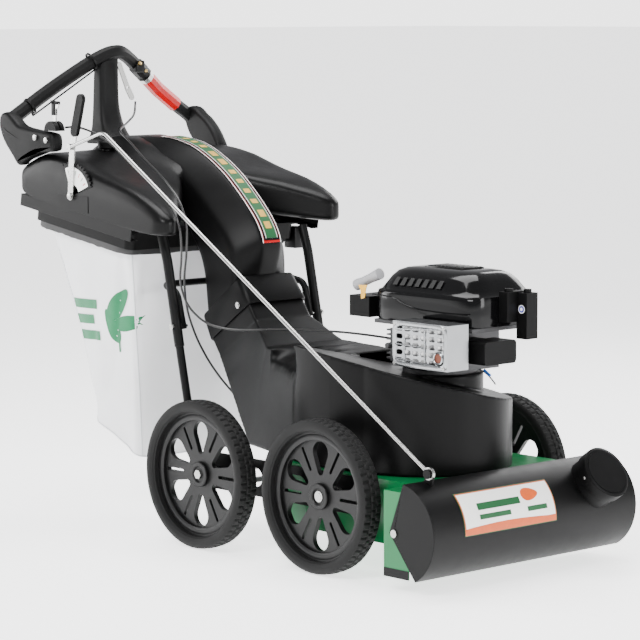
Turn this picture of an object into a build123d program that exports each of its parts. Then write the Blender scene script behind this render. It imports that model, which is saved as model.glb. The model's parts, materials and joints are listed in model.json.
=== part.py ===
"""Walk-behind leaf vacuum mulcher, in millimetres: +X forward, +Y to the left, +Z up.

The origin is on the ground at the middle of the machine's bounding box. Positions along the
machine are written from the front axle: side(), level() and across() give planes whose local
X starts there, and at() gives a point.
"""

import os
from math import cos, radians, sin

from build123d import *

os.makedirs("parts", exist_ok=True)

# Driving dimensions
front_axle = 425.6  # front axle ahead of the origin
wheelbase = 468.0
wheel_radius = 198.0
rim_radius = 166.0
wheel_centre = 340.5  # wheel's middle plane from the machine's middle plane
tyre_width = 63.0
axle_radius = 9.5
running_gap = 0.05
body_gap = 0.5
sheet = 3.0

nozzle_radius = 127.0
nozzle_half_width = 368.5
nozzle_axis = (307.0, 147.0)
nozzle_pivot = (297.0, 147.0)
rod_pin = (358.0, 296.0)  # where the height rod meets the nozzle
port_radius = 66.0
port_tilt = 35.0
port_y = 230.0
port_reach = 176.0

base_top = 253.0
shaft_x = 85.0  # engine shaft and impeller axis
impeller_radius = 165.0
housing_wall = 6.0
mouth_half = 100.0  # half width of the square duct mouth

leg_top = 670.0  # height where the chute's leg meets its elbow
chute_front = -558.0
chute_back = -750.0
elbow_end = -980.0
elbow_sill = 882.0
elbow_top = 1068.0
chute_half = 95.0
chute_wall = 5.0
sleeve_drop = 35.0  # how far the chute's sleeve reaches down over the duct

rail_slope = 8.6
rail_origin = (-940.0, 825.5)
rail_half = 343.0
upright_y = 256.5
upright_radius = 13.5

handle_radius = 21.0
handle_corner = (-1325.0, 340.0, 1092.0)
handle_apex = (-1235.0, 0.0, 1326.0)

lever_pivot = (-1003.0, 909.0)
lever_pin = (-993.0, 1045.0)
lever_y = -348.5


def at(x, y, z):
    """Point measured from the front axle."""
    return (front_axle + x, y, z)


def side(y):
    """Upright plane facing the right-hand side, local axes X forward and Z up."""
    return Plane(origin=(front_axle, y, 0), x_dir=(1, 0, 0), z_dir=(0, -1, 0))


def level(z):
    """Horizontal plane at height z."""
    return Plane(origin=(front_axle, 0, z))


def across(x):
    """Upright plane facing forward at x, local axes Y and Z."""
    return Plane(origin=(front_axle + x, 0, 0), x_dir=(0, 1, 0), z_dir=(1, 0, 0))


def tilted(offset=0.0):
    """Plane of the bag rails, rising to the rear, local X forward and Y to the left."""
    slope = radians(rail_slope)
    x = rail_origin[0] + offset * sin(slope)
    z = rail_origin[1] + offset * cos(slope)
    return Plane(origin=at(x, 0, z), x_dir=(cos(slope), 0, -sin(slope)), z_dir=(sin(slope), 0, cos(slope)))


def polar(centre, radius, angle):
    """Point in a side view, radius and angle from centre."""
    return (centre[0] + radius * cos(radians(angle)), centre[1] + radius * sin(radians(angle)))


def slab(x0, x1, y0, y1, z0, z1, mode=Mode.ADD):
    """Box between two corners, measured from the front axle."""
    with BuildSketch(level(z0)) as foot:
        with Locations(((x0 + x1) / 2, (y0 + y1) / 2)):
            Rectangle(x1 - x0, y1 - y0)
    extrude(foot.sketch, amount=z1 - z0, mode=mode)


def rod(start, end, radius, mode=Mode.ADD):
    """Round bar between two points measured from the front axle."""
    a = Vector(*at(*start))
    b = Vector(*at(*end))
    with BuildSketch(Plane(origin=a, z_dir=b - a)) as end_face:
        Circle(radius)
    extrude(end_face.sketch, amount=(b - a).length, mode=mode)


def tube(points, radii, outer, inner=0.0):
    """Bent tube along points measured from the front axle."""
    with BuildLine() as line:
        FilletPolyline(*[at(*p) for p in points], radius=radii)
    with BuildSketch(Plane(origin=line.line @ 0, z_dir=line.line % 0)) as section:
        Circle(outer)
        if inner:
            Circle(inner, mode=Mode.SUBTRACT)
    sweep(section.sketch, path=line.line)


def save(piece, name):
    """Labels a finished piece and writes its file."""
    piece.part.label = name
    export_step(piece.part, f"parts/{name}.step")


# ---------------------------------------------------------------- base and running gear

plate_inner = 270.0  # inner face of the axle plates
plate_outer = 276.0
front_box = (252.0, 335.0)  # the part of the base that carries the nozzle
ear_y = 361.0
plenum_back = -250.0
base_floor = 90.0
base_front_top = 250.0
base_front_bottom = 36.0

with BuildPart() as green_base:
    # plenum between the wheels, open to the front, with the impeller's eye in its roof
    slab(plenum_back, front_box[0] + sheet, -plate_inner, plate_inner, base_floor, base_top)
    slab(plenum_back + sheet, front_box[0] + 10, -plate_inner + sheet, plate_inner - sheet,
         base_floor + sheet, base_top - sheet, Mode.SUBTRACT)
    with BuildSketch(level(base_top - 10)):
        with Locations((shaft_x, 0)):
            Circle(115)
    extrude(amount=20, mode=Mode.SUBTRACT)
    slab(plenum_back - 5, plenum_back + 10, -66, 66, 224, 246, Mode.SUBTRACT)
    # full-width front with ears for the nozzle's pivot bolts
    slab(front_box[0], front_box[0] + sheet, -ear_y, ear_y, base_front_bottom, base_front_top)
    slab(front_box[0], front_box[1], -ear_y, ear_y, base_front_top - sheet, base_front_top)
    for y in (-ear_y, ear_y - sheet):
        slab(front_box[0], 340, y, y + sheet, base_front_bottom, base_front_top)
    slab(front_box[0] - 5, front_box[0] + 10, -260, 260, base_floor + 8, base_front_top - 8, Mode.SUBTRACT)
    with BuildSketch(side(400)):
        with Locations(nozzle_pivot):
            Circle(6)
    extrude(amount=800, mode=Mode.SUBTRACT)
save(green_base, "green_base")

with BuildPart() as axle_plates:
    for y in (-plate_inner, plate_outer):
        with BuildSketch(side(y)):
            with BuildLine():
                Polyline((-512, 150), (60, 150), (110, 190), (110, 248), (-512, 248), (-560, 216), (-560, 175), close=True)
            make_face()
            with Locations((0, wheel_radius)):
                Circle(axle_radius, mode=Mode.SUBTRACT)
            with Locations((-wheelbase, wheel_radius)):
                Circle(14, mode=Mode.SUBTRACT)
            with Locations((-350, 200), (-180, 200)):
                SlotOverall(110, 50, mode=Mode.SUBTRACT)
        extrude(amount=plate_outer - plate_inner)
save(axle_plates, "axle_plates")

with BuildPart() as axle_bushes:
    for y in (-266, 280):
        with BuildSketch(side(y)):
            with Locations((-wheelbase, wheel_radius)):
                Circle(14)
                Circle(axle_radius + running_gap, mode=Mode.SUBTRACT)
        extrude(amount=14)
save(axle_bushes, "axle_bushes")

with BuildPart() as stub_axles:
    for s in (-1, 1):
        rod((0, s * 256, wheel_radius), (0, s * 348, wheel_radius), axle_radius)
        rod((0, s * plate_outer, wheel_radius), (0, s * 288, wheel_radius), 17)
        rod((0, s * 345.6, wheel_radius), (0, s * 347, wheel_radius), 14)
save(stub_axles, "stub_axles")

hub_inner = 318.0
hub_outer = 345.0


def make_rim(x, s, bore, name):
    """One six-spoke wheel centre; s is +1 on the left and -1 on the right."""
    with BuildPart() as rim:
        start = side(s * hub_inner)
        way = -s
        with BuildSketch(start):
            with Locations((x, wheel_radius)):
                Circle(rim_radius)
                Circle(146, mode=Mode.SUBTRACT)
        extrude(amount=way * 32)
        with BuildSketch(side(s * 326)):
            with Locations((x, wheel_radius)):
                Circle(150)
                for i in range(6):
                    turn = 60 * i + 30
                    with Locations(Rotation(0, 0, turn)):
                        with BuildSketch(mode=Mode.PRIVATE) as window:
                            with Locations((112, 0)):
                                Circle(28)
                            with Locations((64, 0)):
                                Circle(10)
                            make_hull()
                        add(window.sketch, mode=Mode.SUBTRACT)
                    with Locations(Rotation(0, 0, turn + 30)):
                        with Locations((104, 0)):
                            SlotOverall(66, 8, mode=Mode.SUBTRACT)
        extrude(amount=way * 14)
        with BuildSketch(start):
            with Locations((x, wheel_radius)):
                Circle(32)
        extrude(amount=way * (hub_outer - hub_inner))
        with BuildSketch(side(s * 200)):
            with Locations((x, wheel_radius)):
                Circle(bore)
        extrude(amount=way * 200, mode=Mode.SUBTRACT)
    save(rim, name)


def make_tyre(x, s, name):
    """One solid tyre on its rim."""
    with BuildPart() as tyre:
        middle = s * wheel_centre
        half = tyre_width / 2
        plane = Plane(origin=at(x, middle, wheel_radius), x_dir=(0, 1, 0), z_dir=(1, 0, 0))
        with BuildSketch(plane):
            with BuildLine():
                Line((-22, rim_radius), (22, rim_radius))
                Spline((22, rim_radius), (half, 181), (20, wheel_radius - 2))
                Line((20, wheel_radius - 2), (-20, wheel_radius - 2))
                Spline((-20, wheel_radius - 2), (-half, 181), (-22, rim_radius))
            make_face()
        revolve(axis=Axis(at(x, middle, wheel_radius), (0, 1, 0)))
        # the tread's blocks across the crown
        with BuildSketch(side(middle + 20)):
            with Locations((x, wheel_radius)):
                with PolarLocations(wheel_radius - 1, 36):
                    Rectangle(6, 10)
                Circle(wheel_radius - 3, mode=Mode.SUBTRACT)
                with BuildSketch(mode=Mode.PRIVATE) as crown:
                    Circle(wheel_radius)
                add(crown.sketch, mode=Mode.INTERSECT)
        extrude(amount=40)
    save(tyre, name)


for end, x, bore in (("front", 0.0, axle_radius + running_gap), ("rear", -wheelbase, axle_radius)):
    for hand, s in (("right", -1), ("left", 1)):
        make_rim(x, s, bore, f"{end}_{hand}_rim")
        make_tyre(x, s, f"{end}_{hand}_tyre")

gear_radius = 20.0
worm_radius = 9.0
worm_x = -wheelbase + gear_radius + worm_radius + body_gap
pulley_z = (228.0, 242.0)
belt_gap = 3.0

with BuildPart() as drive_axle:
    rod((-wheelbase, -349, wheel_radius), (-wheelbase, 349, wheel_radius), axle_radius)
    for s in (-1, 1):
        with BuildSketch(side(s * 345.5)):
            with Locations((-wheelbase, wheel_radius)):
                RegularPolygon(13, 6)
        extrude(amount=-s * 7)
save(drive_axle, "drive_axle")

with BuildPart() as axle_gear:
    with BuildSketch(side(7)):
        with Locations((-wheelbase, wheel_radius)):
            Circle(gear_radius)
            Circle(axle_radius, mode=Mode.SUBTRACT)
    extrude(amount=14)
save(axle_gear, "axle_gear")

with BuildPart() as worm_shaft:
    rod((worm_x, 0, 176), (worm_x, 0, 229), worm_radius)
    rod((worm_x, 0, pulley_z[0]), (worm_x, 0, pulley_z[1]), 55)
    with BuildSketch(level(pulley_z[0] + belt_gap - 0.5)):
        with Locations((worm_x, 0)):
            Circle(60)
            Circle(47, mode=Mode.SUBTRACT)
    extrude(amount=9, mode=Mode.SUBTRACT)
save(worm_shaft, "worm_shaft")

with BuildPart() as gearbox_case:
    slab(-502, -418, -36, 36, 160, 225)
    slab(-497, -423, -28, 28, 166, 220, Mode.SUBTRACT)
    with BuildSketch(side(60)):
        with Locations((-wheelbase, wheel_radius)):
            Circle(axle_radius + running_gap)
    extrude(amount=120, mode=Mode.SUBTRACT)
    rod((worm_x, 0, 205), (worm_x, 0, 230), worm_radius + running_gap, Mode.SUBTRACT)
    # tie bar that carries the case between the axle plates
    slab(-500, -480, -plate_inner, plate_inner, 150, 161)
save(gearbox_case, "gearbox_case")


def belt_outline(grow):
    """Outline round both belt pulleys."""
    with BuildSketch(level(pulley_z[0] + belt_gap)) as outline:
        with Locations((shaft_x, 0)):
            Circle(28 + grow)
        with Locations((worm_x, 0)):
            Circle(48 + grow)
        make_hull()
    return outline.sketch


with BuildPart() as drive_belt:
    outer_loop = belt_outline(8)
    inner_loop = belt_outline(0)
    extrude(to_extrude=outer_loop, amount=8)
    extrude(to_extrude=inner_loop, amount=8, mode=Mode.SUBTRACT)
save(drive_belt, "drive_belt")

# ---------------------------------------------------------------- scroll housing and impeller

deck_z = 471.0  # deck's height on the shaft axis
deck_rise_back = 0.12
deck_rise_right = 0.22
engine_foot = 496.0


def deck_plane(drop=0.0):
    """Sloping plane of the scroll's roof."""
    normal = Vector(deck_rise_back, deck_rise_right, 1).normalized()
    return Plane(origin=at(shaft_x, 0, deck_z - drop), x_dir=(1, 0, -deck_rise_back), z_dir=normal)


def scroll_outline(inset):
    """Plan of the scroll: a volute that opens towards the right and runs out to the rear."""
    back = -200 + inset
    left = 105 - inset
    right = -250 + inset
    front = shaft_x + 197 - inset
    with BuildSketch(level(base_top)) as plan:
        with BuildLine():
            Line((back, left), (-70, left + 13))
            ThreePointArc((-70, left + 13), (-20, left + 45), (40, left + 74))
            ThreePointArc((40, left + 74), (front - 97, left + 53), (front - 37, 95))
            ThreePointArc((front - 37, 95), (front, -10), (front - 27, -125))
            ThreePointArc((front - 27, -125), (front - 102, right + 40), (60, right + 4))
            ThreePointArc((60, right + 4), (-70, right - 14), (back, right))
            Line((back, right), (back, left))
        make_face()
    return plan.sketch


def duct_section(bottom, top, y0, y1, inset):
    """Closed section of the duct on a plane through two points of its side view."""
    run = Vector(top[0] - bottom[0], 0, top[1] - bottom[1])
    length = run.length
    plane = Plane(origin=at(bottom[0], 0, bottom[1]), x_dir=run.normalized(), z_dir=Vector(0, 1, 0).cross(run))
    low = plane.to_local_coords(Vector(*at(bottom[0], y0, bottom[1]))).Y
    high = plane.to_local_coords(Vector(*at(bottom[0], y1, bottom[1]))).Y
    with BuildSketch(plane) as section:
        with Locations((length / 2, (low + high) / 2)):
            Rectangle(length - 2 * inset, abs(high - low) - 2 * inset)
    return section.sketch


duct_stations = (
    ((-190, 254), (-190, 520), -252, 105),
    ((-470, 258), (-395, 528), -170, 105),
    ((-671.2, 475.1), (-516.2, 584.1), -mouth_half, mouth_half),
    ((-714.4, 536.5), (-559.4, 645.5), -mouth_half, mouth_half),
)


def duct(inset):
    """Loft of the rising duct."""
    sections = [duct_section(*station, inset) for station in duct_stations]
    loft(sections=[s.faces()[0] for s in sections], ruled=True)


with BuildPart() as scroll_core:
    extrude(to_extrude=scroll_outline(0), amount=400)
    split(bisect_by=deck_plane(), keep=Keep.BOTTOM)
with BuildPart() as scroll_void:
    extrude(to_extrude=scroll_outline(housing_wall), amount=400)
    split(bisect_by=deck_plane(housing_wall), keep=Keep.BOTTOM)
with BuildPart() as duct_outer:
    duct(0)
with BuildPart() as duct_void:
    duct(housing_wall)
with BuildPart() as mouth_cut:
    cut_section = duct_section(*duct_stations[-1], housing_wall)
    extrude(to_extrude=cut_section, amount=40, both=True)
with BuildPart() as scroll_housing:
    add(scroll_core.part)
    add(duct_outer.part)
    rod((shaft_x, 0, 440), (shaft_x, 0, engine_foot), 112)
    add(scroll_void.part, mode=Mode.SUBTRACT)
    add(duct_void.part, mode=Mode.SUBTRACT)
    add(mouth_cut.part, mode=Mode.SUBTRACT)
    rod((shaft_x, 0, 300), (shaft_x, 0, 500), 20, Mode.SUBTRACT)
save(scroll_housing, "scroll_housing")

with BuildPart() as impeller:
    rod((shaft_x, 0, 290), (shaft_x, 0, 400), 24)
    rod((shaft_x, 0, 396), (shaft_x, 0, 401), impeller_radius)
    for i in range(6):
        blade = level(300).rotated((0, 0, 60 * i))
        blade.origin = Vector(*at(shaft_x, 0, 300))
        with BuildSketch(blade):
            with Locations((92, 0)):
                Rectangle(144, 5)
        extrude(amount=98)
    rod((shaft_x, 0, 280), (shaft_x, 0, 410), 12.5, Mode.SUBTRACT)
save(impeller, "impeller")

with BuildPart() as crankshaft:
    rod((shaft_x, 0, pulley_z[0]), (shaft_x, 0, 668), 12.5)
    rod((shaft_x, 0, pulley_z[0]), (shaft_x, 0, pulley_z[1]), 35)
    with BuildSketch(level(pulley_z[0] + belt_gap - 0.5)):
        with Locations((shaft_x, 0)):
            Circle(40)
            Circle(27, mode=Mode.SUBTRACT)
    extrude(amount=9, mode=Mode.SUBTRACT)
save(crankshaft, "crankshaft")

with BuildPart() as shaft_bolt:
    with BuildSketch(level(pulley_z[0] - 10)):
        with Locations((shaft_x, 0)):
            RegularPolygon(11, 6)
    extrude(amount=7)
    rod((shaft_x, 0, pulley_z[0] - 3), (shaft_x, 0, pulley_z[0]), 20)
save(shaft_bolt, "shaft_bolt")

with BuildPart() as flywheel:
    rod((shaft_x, 0, 642), (shaft_x, 0, 662), 92)
    for i in range(20):
        spot = polar((shaft_x, 0), 80, 18 * i)
        rod((spot[0], spot[1], 661), (spot[0], spot[1], 674), 4)
    rod((shaft_x, 0, 630), (shaft_x, 0, 700), 12.5, Mode.SUBTRACT)
save(flywheel, "flywheel")

# ---------------------------------------------------------------- engine

with BuildPart() as engine_crankcase:
    rod((shaft_x, 0, engine_foot), (shaft_x, 0, engine_foot + 10), 96)
    slab(10, 190, -58, 110, engine_foot + 9, 616)
    slab(-62, 290, -92, 142, 616, 626)
    # crank chamber inside the block
    slab(20, 180, -48, 100, engine_foot + 19, 606, Mode.SUBTRACT)
    rod((shaft_x, 0, 480), (shaft_x, 0, 630), 12.5 + running_gap, Mode.SUBTRACT)
save(engine_crankcase, "engine_crankcase")

with BuildPart() as engine_cylinder:
    slab(32, 98, -126, -58, 528, 612)
    for i in range(7):
        slab(14, 105, -122, -59, 532 + 12 * i, 536 + 12 * i)
    # spark plug in the head
    rod((60, -126, 572), (60, -150, 572), 9)
    rod((60, -150, 572), (60, -166, 572), 7)
save(engine_cylinder, "engine_cylinder")

shroud = (-73.0, 300.0, -100.0, 150.0, 626.0, 705.0)

with BuildPart() as engine_shroud:
    for inset, mode in ((0, Mode.ADD), (sheet, Mode.SUBTRACT)):
        with BuildSketch(level(shroud[4])):
            with Locations(((shroud[0] + shroud[1]) / 2, (shroud[2] + shroud[3]) / 2)):
                RectangleRounded(shroud[1] - shroud[0] - 2 * inset, shroud[3] - shroud[2] - 2 * inset, 45 - inset)
        extrude(amount=shroud[5] - shroud[4] - inset, mode=mode)
    with BuildSketch(level(690)):
        with Locations((105, 25)):
            RectangleRounded(230, 150, 40)
    extrude(amount=30, mode=Mode.SUBTRACT)
save(engine_shroud, "engine_shroud")


def cover_shell(inset):
    """Domed loft of the starter cover."""
    with BuildSketch(level(705)) as foot:
        with Locations((105, 25)):
            RectangleRounded(300 - 2 * inset, 200 - 2 * inset, 60 - inset)
    with BuildSketch(level(768 - inset)) as crown:
        with Locations((120, 30)):
            RectangleRounded(170 - 2 * inset, 110 - 2 * inset, 40 - inset)
    loft([foot.sketch.face(), crown.sketch.face()], mode=Mode.ADD if inset == 0 else Mode.SUBTRACT)


with BuildPart() as shroud_cover:
    cover_shell(0)
    cover_shell(sheet)
    for i in range(9):
        slab(52 + 16 * i, 58 + 16 * i, -18, 78, 767, 772)
save(shroud_cover, "shroud_cover")

with BuildPart() as fuel_tank:
    slab(-150, -76, -98, 140, 628, 682)
    slab(-146, -80, -94, 136, 632, 678, Mode.SUBTRACT)
    rod((-113, 60, 676), (-113, 60, 690), 22)
    rod((-113, 60, 670), (-113, 60, 695), 18, Mode.SUBTRACT)
save(fuel_tank, "fuel_tank")

with BuildPart() as fuel_cap:
    rod((-113, 60, 684), (-113, 60, 704), 28)
    rod((-113, 60, 680), (-113, 60, 690.4), 22.4, Mode.SUBTRACT)
save(fuel_cap, "fuel_cap")

guard = (107.0, 300.0, -190.0, -115.0, 528.0, 643.0)

with BuildPart() as muffler_guard:
    slab(guard[0], guard[1], guard[2], guard[3], guard[4], guard[5])
    slab(guard[0] + 2, guard[1] - 2, guard[2] + 2, guard[3] + 5, guard[4] + 2, guard[5] - 2, Mode.SUBTRACT)
    with BuildSketch(side(-150)):
        with Locations((203, 585)):
            with GridLocations(29, 20, 6, 5):
                SlotOverall(23, 12, mode=Mode.ADD)
    extrude(amount=60, mode=Mode.SUBTRACT)
save(muffler_guard, "muffler_guard")

with BuildPart() as muffler:
    slab(122, 286, -180, -118, 542, 630)
    fillet(muffler.edges().filter_by(Axis.Z), 14)
    rod((270, -178, 560), (270, -187, 560), 12)
    # expansion chamber and the outlet's bore
    slab(136, 272, -177, -121, 545, 627, Mode.SUBTRACT)
    rod((270, -190, 560), (270, -150, 560), 9, Mode.SUBTRACT)
    slab(190, 196, -120, -59, 560, 600)
save(muffler, "muffler")

with BuildPart() as air_cleaner:
    slab(301, 330, -8, 62, 640, 716)
    slab(326, 361, 30, 70, 597, 713)
    rod((316, 12, 714), (316, 12, 724), 11)
    rod((345, 50, 712), (345, 50, 722), 10)
save(air_cleaner, "air_cleaner")

with BuildPart() as carburettor:
    slab(262, 330, -88, 26, 537, 596)
    fillet(carburettor.edges().filter_by(Axis.X), 10)
    slab(190, 264, -30, 20, 560, 590)
save(carburettor, "carburettor")

grip_start = (-169.0, -72.0, 712.0)
grip_end = (-78.0, -72.0, 747.0)

with BuildPart() as recoil_grip:
    rod(grip_start, grip_end, 15)
save(recoil_grip, "recoil_grip")

# ---------------------------------------------------------------- chute, hopper and bag


def elbow_profile(inset):
    """Side view of the chute above its leg: up from the duct and over to the rear."""
    front = chute_front - inset
    back = chute_back + inset
    crown = elbow_top - inset
    sill = elbow_sill + inset
    with BuildSketch(side(chute_half - inset)) as profile:
        with BuildLine():
            Line((back, leg_top), (front, leg_top))
            Line((front, leg_top), (front, 740))
            ThreePointArc((front, 740), (front - 110, crown - 136), (elbow_end, crown))
            Line((elbow_end, crown), (elbow_end, sill))
            Line((elbow_end, sill), (-890 + inset, sill))
            ThreePointArc((-890 + inset, sill), (-818 + inset, sill - 22), (-786 + inset, 822))
            Line((-786 + inset, 822), (back, leg_top))
        make_face()
    return profile.sketch


def chute_leg(inset, drop, mode=Mode.ADD):
    """Straight lower leg of the chute, widening over the duct's mouth."""
    bottom, top = duct_stations[-1][:2]
    run = Vector(top[0] - bottom[0], 0, top[1] - bottom[1])
    up = Vector(-run.Z, 0, run.X).normalized()
    grow = chute_wall + 0.3 - inset
    with BuildSketch(level(leg_top)) as upper:
        with Locations(((chute_front + chute_back) / 2, 0)):
            Rectangle(chute_front - chute_back - 2 * inset, 2 * chute_half - 2 * inset)
    collar = Plane(origin=Vector(*at(bottom[0], 0, bottom[1])), x_dir=run.normalized(), z_dir=up)
    with BuildSketch(collar) as lower:
        with Locations((run.length / 2, 0)):
            Rectangle(run.length + 2 * grow, 2 * mouth_half + 2 * grow)
    loft([lower.sketch.face(), upper.sketch.face()], ruled=True, mode=mode)
    extrude(lower.sketch, amount=-drop, mode=mode)


with BuildPart() as upper_chute:
    extrude(elbow_profile(0), amount=2 * chute_half)
    chute_leg(0, sleeve_drop)
    extrude(elbow_profile(chute_wall), amount=2 * (chute_half - chute_wall), mode=Mode.SUBTRACT)
    slab(elbow_end - 5, elbow_end + 5, -chute_half + chute_wall, chute_half - chute_wall,
         elbow_sill + chute_wall, elbow_top - chute_wall, Mode.SUBTRACT)
    chute_leg(chute_wall, sleeve_drop + 15, Mode.SUBTRACT)
save(upper_chute, "upper_chute")

hopper_base = 34.0  # height of the rails under the hopper


def hopper_loft(inset, mode=Mode.ADD):
    """Domed body of the hopper on the rails' sloping plane."""
    with BuildSketch(tilted(hopper_base)) as foot:
        with Locations((4, 0)):
            RectangleRounded(646 - 2 * inset, 2 * 335 - 2 * inset, 40)
    with BuildSketch(tilted(hopper_base + 70)) as waist:
        with Locations((4, 0)):
            RectangleRounded(620 - 2 * inset, 2 * 325 - 2 * inset, 60)
    with BuildSketch(tilted(hopper_base + 140 - inset)) as crown:
        with Locations((-50, 0)):
            RectangleRounded(480 - 2 * inset, 2 * 205 - 2 * inset, 60)
    loft([foot.sketch.face(), waist.sketch.face()], mode=mode)
    loft([waist.sketch.face(), crown.sketch.face()], mode=mode)


hump = (-1150.0, -982.0, 1070.0)  # raised back of the hopper behind the chute

with BuildPart() as hopper:
    hopper_loft(0)
    slab(hump[0], hump[1], -100, 100, 960, hump[2])
    hopper_loft(5, Mode.SUBTRACT)
    slab(hump[0] + 5, hump[1] + 5, -95, 95, 940, hump[2] - 5, Mode.SUBTRACT)
    slab(hump[1], -500, -101, 101, 780, 1100, Mode.SUBTRACT)
    # pads in the front corners that the uprights carry
    for y in (-290, 222):
        with BuildSketch(tilted(hopper_base)) as pad:
            with Locations((226, y + 34)):
                Rectangle(190, 68)
        extrude(pad.sketch, amount=4)
    # arched cheeks that close the sides under the handle
    for y in (-318, rail_half):
        with BuildSketch(side(y)) as cheek:
            with BuildLine():
                Polyline((-1252, 917), (-1070, 889), (-1070, 985))
                ThreePointArc((-1070, 985), (-1140, 1030), (-1222, 1000))
                Line((-1222, 1000), (-1252, 917))
            make_face()
        extrude(cheek.sketch, amount=25)
save(hopper, "hopper")

with BuildPart() as bag_rails:
    for s in (-1, 1):
        with BuildSketch(tilted(0)):
            with Locations((-60, s * (rail_half - 1.5))):
                Rectangle(500, 3)
        extrude(amount=hopper_base - 0.2)
        for height in (0, hopper_base - 3.2):
            with BuildSketch(tilted(height)):
                with Locations((-60, s * (rail_half - 12.5))):
                    Rectangle(500, 25)
            extrude(amount=3)
save(bag_rails, "bag_rails")

collar_x = (-296.0, 138.0)
collar_skirt = 302.0

with BuildPart() as bag_collar:
    middle = (collar_x[0] + collar_x[1]) / 2
    length = collar_x[1] - collar_x[0]
    with BuildSketch(tilted(3.6)):
        with Locations((middle, 0)):
            Rectangle(length, 2 * 338)
            Rectangle(length - 60, 2 * 280, mode=Mode.SUBTRACT)
    extrude(amount=5)
    with BuildSketch(tilted(-38)):
        with Locations((middle, 0)):
            RectangleRounded(length, 2 * collar_skirt, 25)
            RectangleRounded(length - 10, 2 * collar_skirt - 10, 22, mode=Mode.SUBTRACT)
    extrude(amount=41.6)
save(bag_collar, "bag_collar")

bag_wall = 5.0
bag_back_low = (-1058.0, 272.0)
bag_front_low = (-832.0, 180.0)


def bag_shape(inset, mode=Mode.ADD):
    """Tapered body of the bag, hanging from its collar, with a floor that drops to the front."""
    drop = Vector(bag_front_low[0] - bag_back_low[0], 0, bag_front_low[1] - bag_back_low[1])
    rise = Vector(-drop.Z, 0, drop.X).normalized()
    middle = ((bag_front_low[0] + bag_back_low[0]) / 2, 0, (bag_front_low[1] + bag_back_low[1]) / 2)
    with BuildSketch(tilted(-10)) as top:
        with Locations(((collar_x[0] + collar_x[1]) / 2 - 5, 0)):
            RectangleRounded(collar_x[1] - collar_x[0] - 24 - 2 * inset, 590 - 2 * inset, 30)
    floor_plane = Plane(origin=Vector(*at(*middle)) + rise * inset, x_dir=drop.normalized(), z_dir=rise)
    with BuildSketch(floor_plane) as floor:
        RectangleRounded(drop.length - 2 * inset, 500 - 2 * inset, 40)
    loft([floor.sketch.face(), top.sketch.face()], ruled=True, mode=mode)
    if mode == Mode.SUBTRACT:
        extrude(top.sketch, amount=10, mode=mode)


with BuildPart() as bag:
    bag_shape(0)
    bag_shape(bag_wall, Mode.SUBTRACT)
save(bag, "bag")

# ---------------------------------------------------------------- upright frame and handle

with BuildPart() as lower_uprights:
    for s in (-1, 1):
        tube([(-500, s * upright_y, 205), (-590, s * upright_y, 235), (-662, s * upright_y, 560),
              (-676, s * upright_y, 620)], [40, 300], upright_radius - 2.2, upright_radius - 4)
save(lower_uprights, "lower_uprights")

with BuildPart() as upper_uprights:
    for s in (-1, 1):
        tube([(-652, s * upright_y, 515), (-700, s * upright_y, 742), (-724, s * upright_y, 812)],
             [200], upright_radius, upright_radius - 2)
save(upper_uprights, "upper_uprights")

brace_y = 232.0

with BuildPart() as frame_hoop:
    tube([(-664, -brace_y, 560), (-690, -brace_y, 655), (-769, -brace_y + 20, 672), (-769, brace_y - 20, 672),
          (-690, brace_y, 655), (-664, brace_y, 560)], [30, 30, 30, 30], 9.5)
save(frame_hoop, "frame_hoop")

mouth_screw = (-584.0, 621.0)
sleeve_face = mouth_half + chute_wall + 0.3  # outer face of the chute's lower sleeve

with BuildPart() as frame_bolts:
    for s in (-1, 1):
        rod((-664, s * 220, 568), (-664, s * 272, 568), 4)
        rod((-664, s * 270.5, 568), (-664, s * 277, 568), 8)
        # duct mouth screws
        rod((mouth_screw[0], s * 96, mouth_screw[1]), (mouth_screw[0], s * 108, mouth_screw[1]), 4)
        rod((mouth_screw[0], s * sleeve_face, mouth_screw[1]), (mouth_screw[0], s * 108.5, mouth_screw[1]), 9)
    # bolts of the right-hand shoulder
    for x, z in ((-1145, 1066), (-1095, 1060)):
        rod((x, -361.5, z), (x, -367, z), 8)
    # pivot of the height lever
    rod((lever_pivot[0], -343.5, lever_pivot[1]), (lever_pivot[0], -355, lever_pivot[1]), 5)
    rod((lever_pivot[0], -353.2, lever_pivot[1]), (lever_pivot[0], -357, lever_pivot[1]), 9)
save(frame_bolts, "frame_bolts")

corner_right = (handle_corner[0], -handle_corner[1], handle_corner[2])
foot_right = (-1303, -handle_corner[1], 1045)
foot_left = (-1303, handle_corner[1], 1045)

with BuildPart() as handle_bar:
    tube([foot_right, corner_right, handle_apex, handle_corner, foot_left], [45, 110, 45], handle_radius, 18.5)
save(handle_bar, "handle_bar")

with BuildPart() as handle_shoulders:
    # the right-hand shoulder is longer, to carry the throttle
    for y, far_end in ((-318, -1072), (361, -1165)):
        with BuildSketch(side(y)):
            with BuildLine():
                Polyline((-1346, 1100), (-1310, 1128), (-1236, 1092), (far_end - 28, 1086), (far_end, 1060), (far_end, 1034),
                         (-1216, 1004), (-1250, 950), close=True)
            make_face()
        extrude(amount=43)
    add(hopper.part, mode=Mode.SUBTRACT)
    add(handle_bar.part, mode=Mode.SUBTRACT)
save(handle_shoulders, "handle_shoulders")

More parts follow.
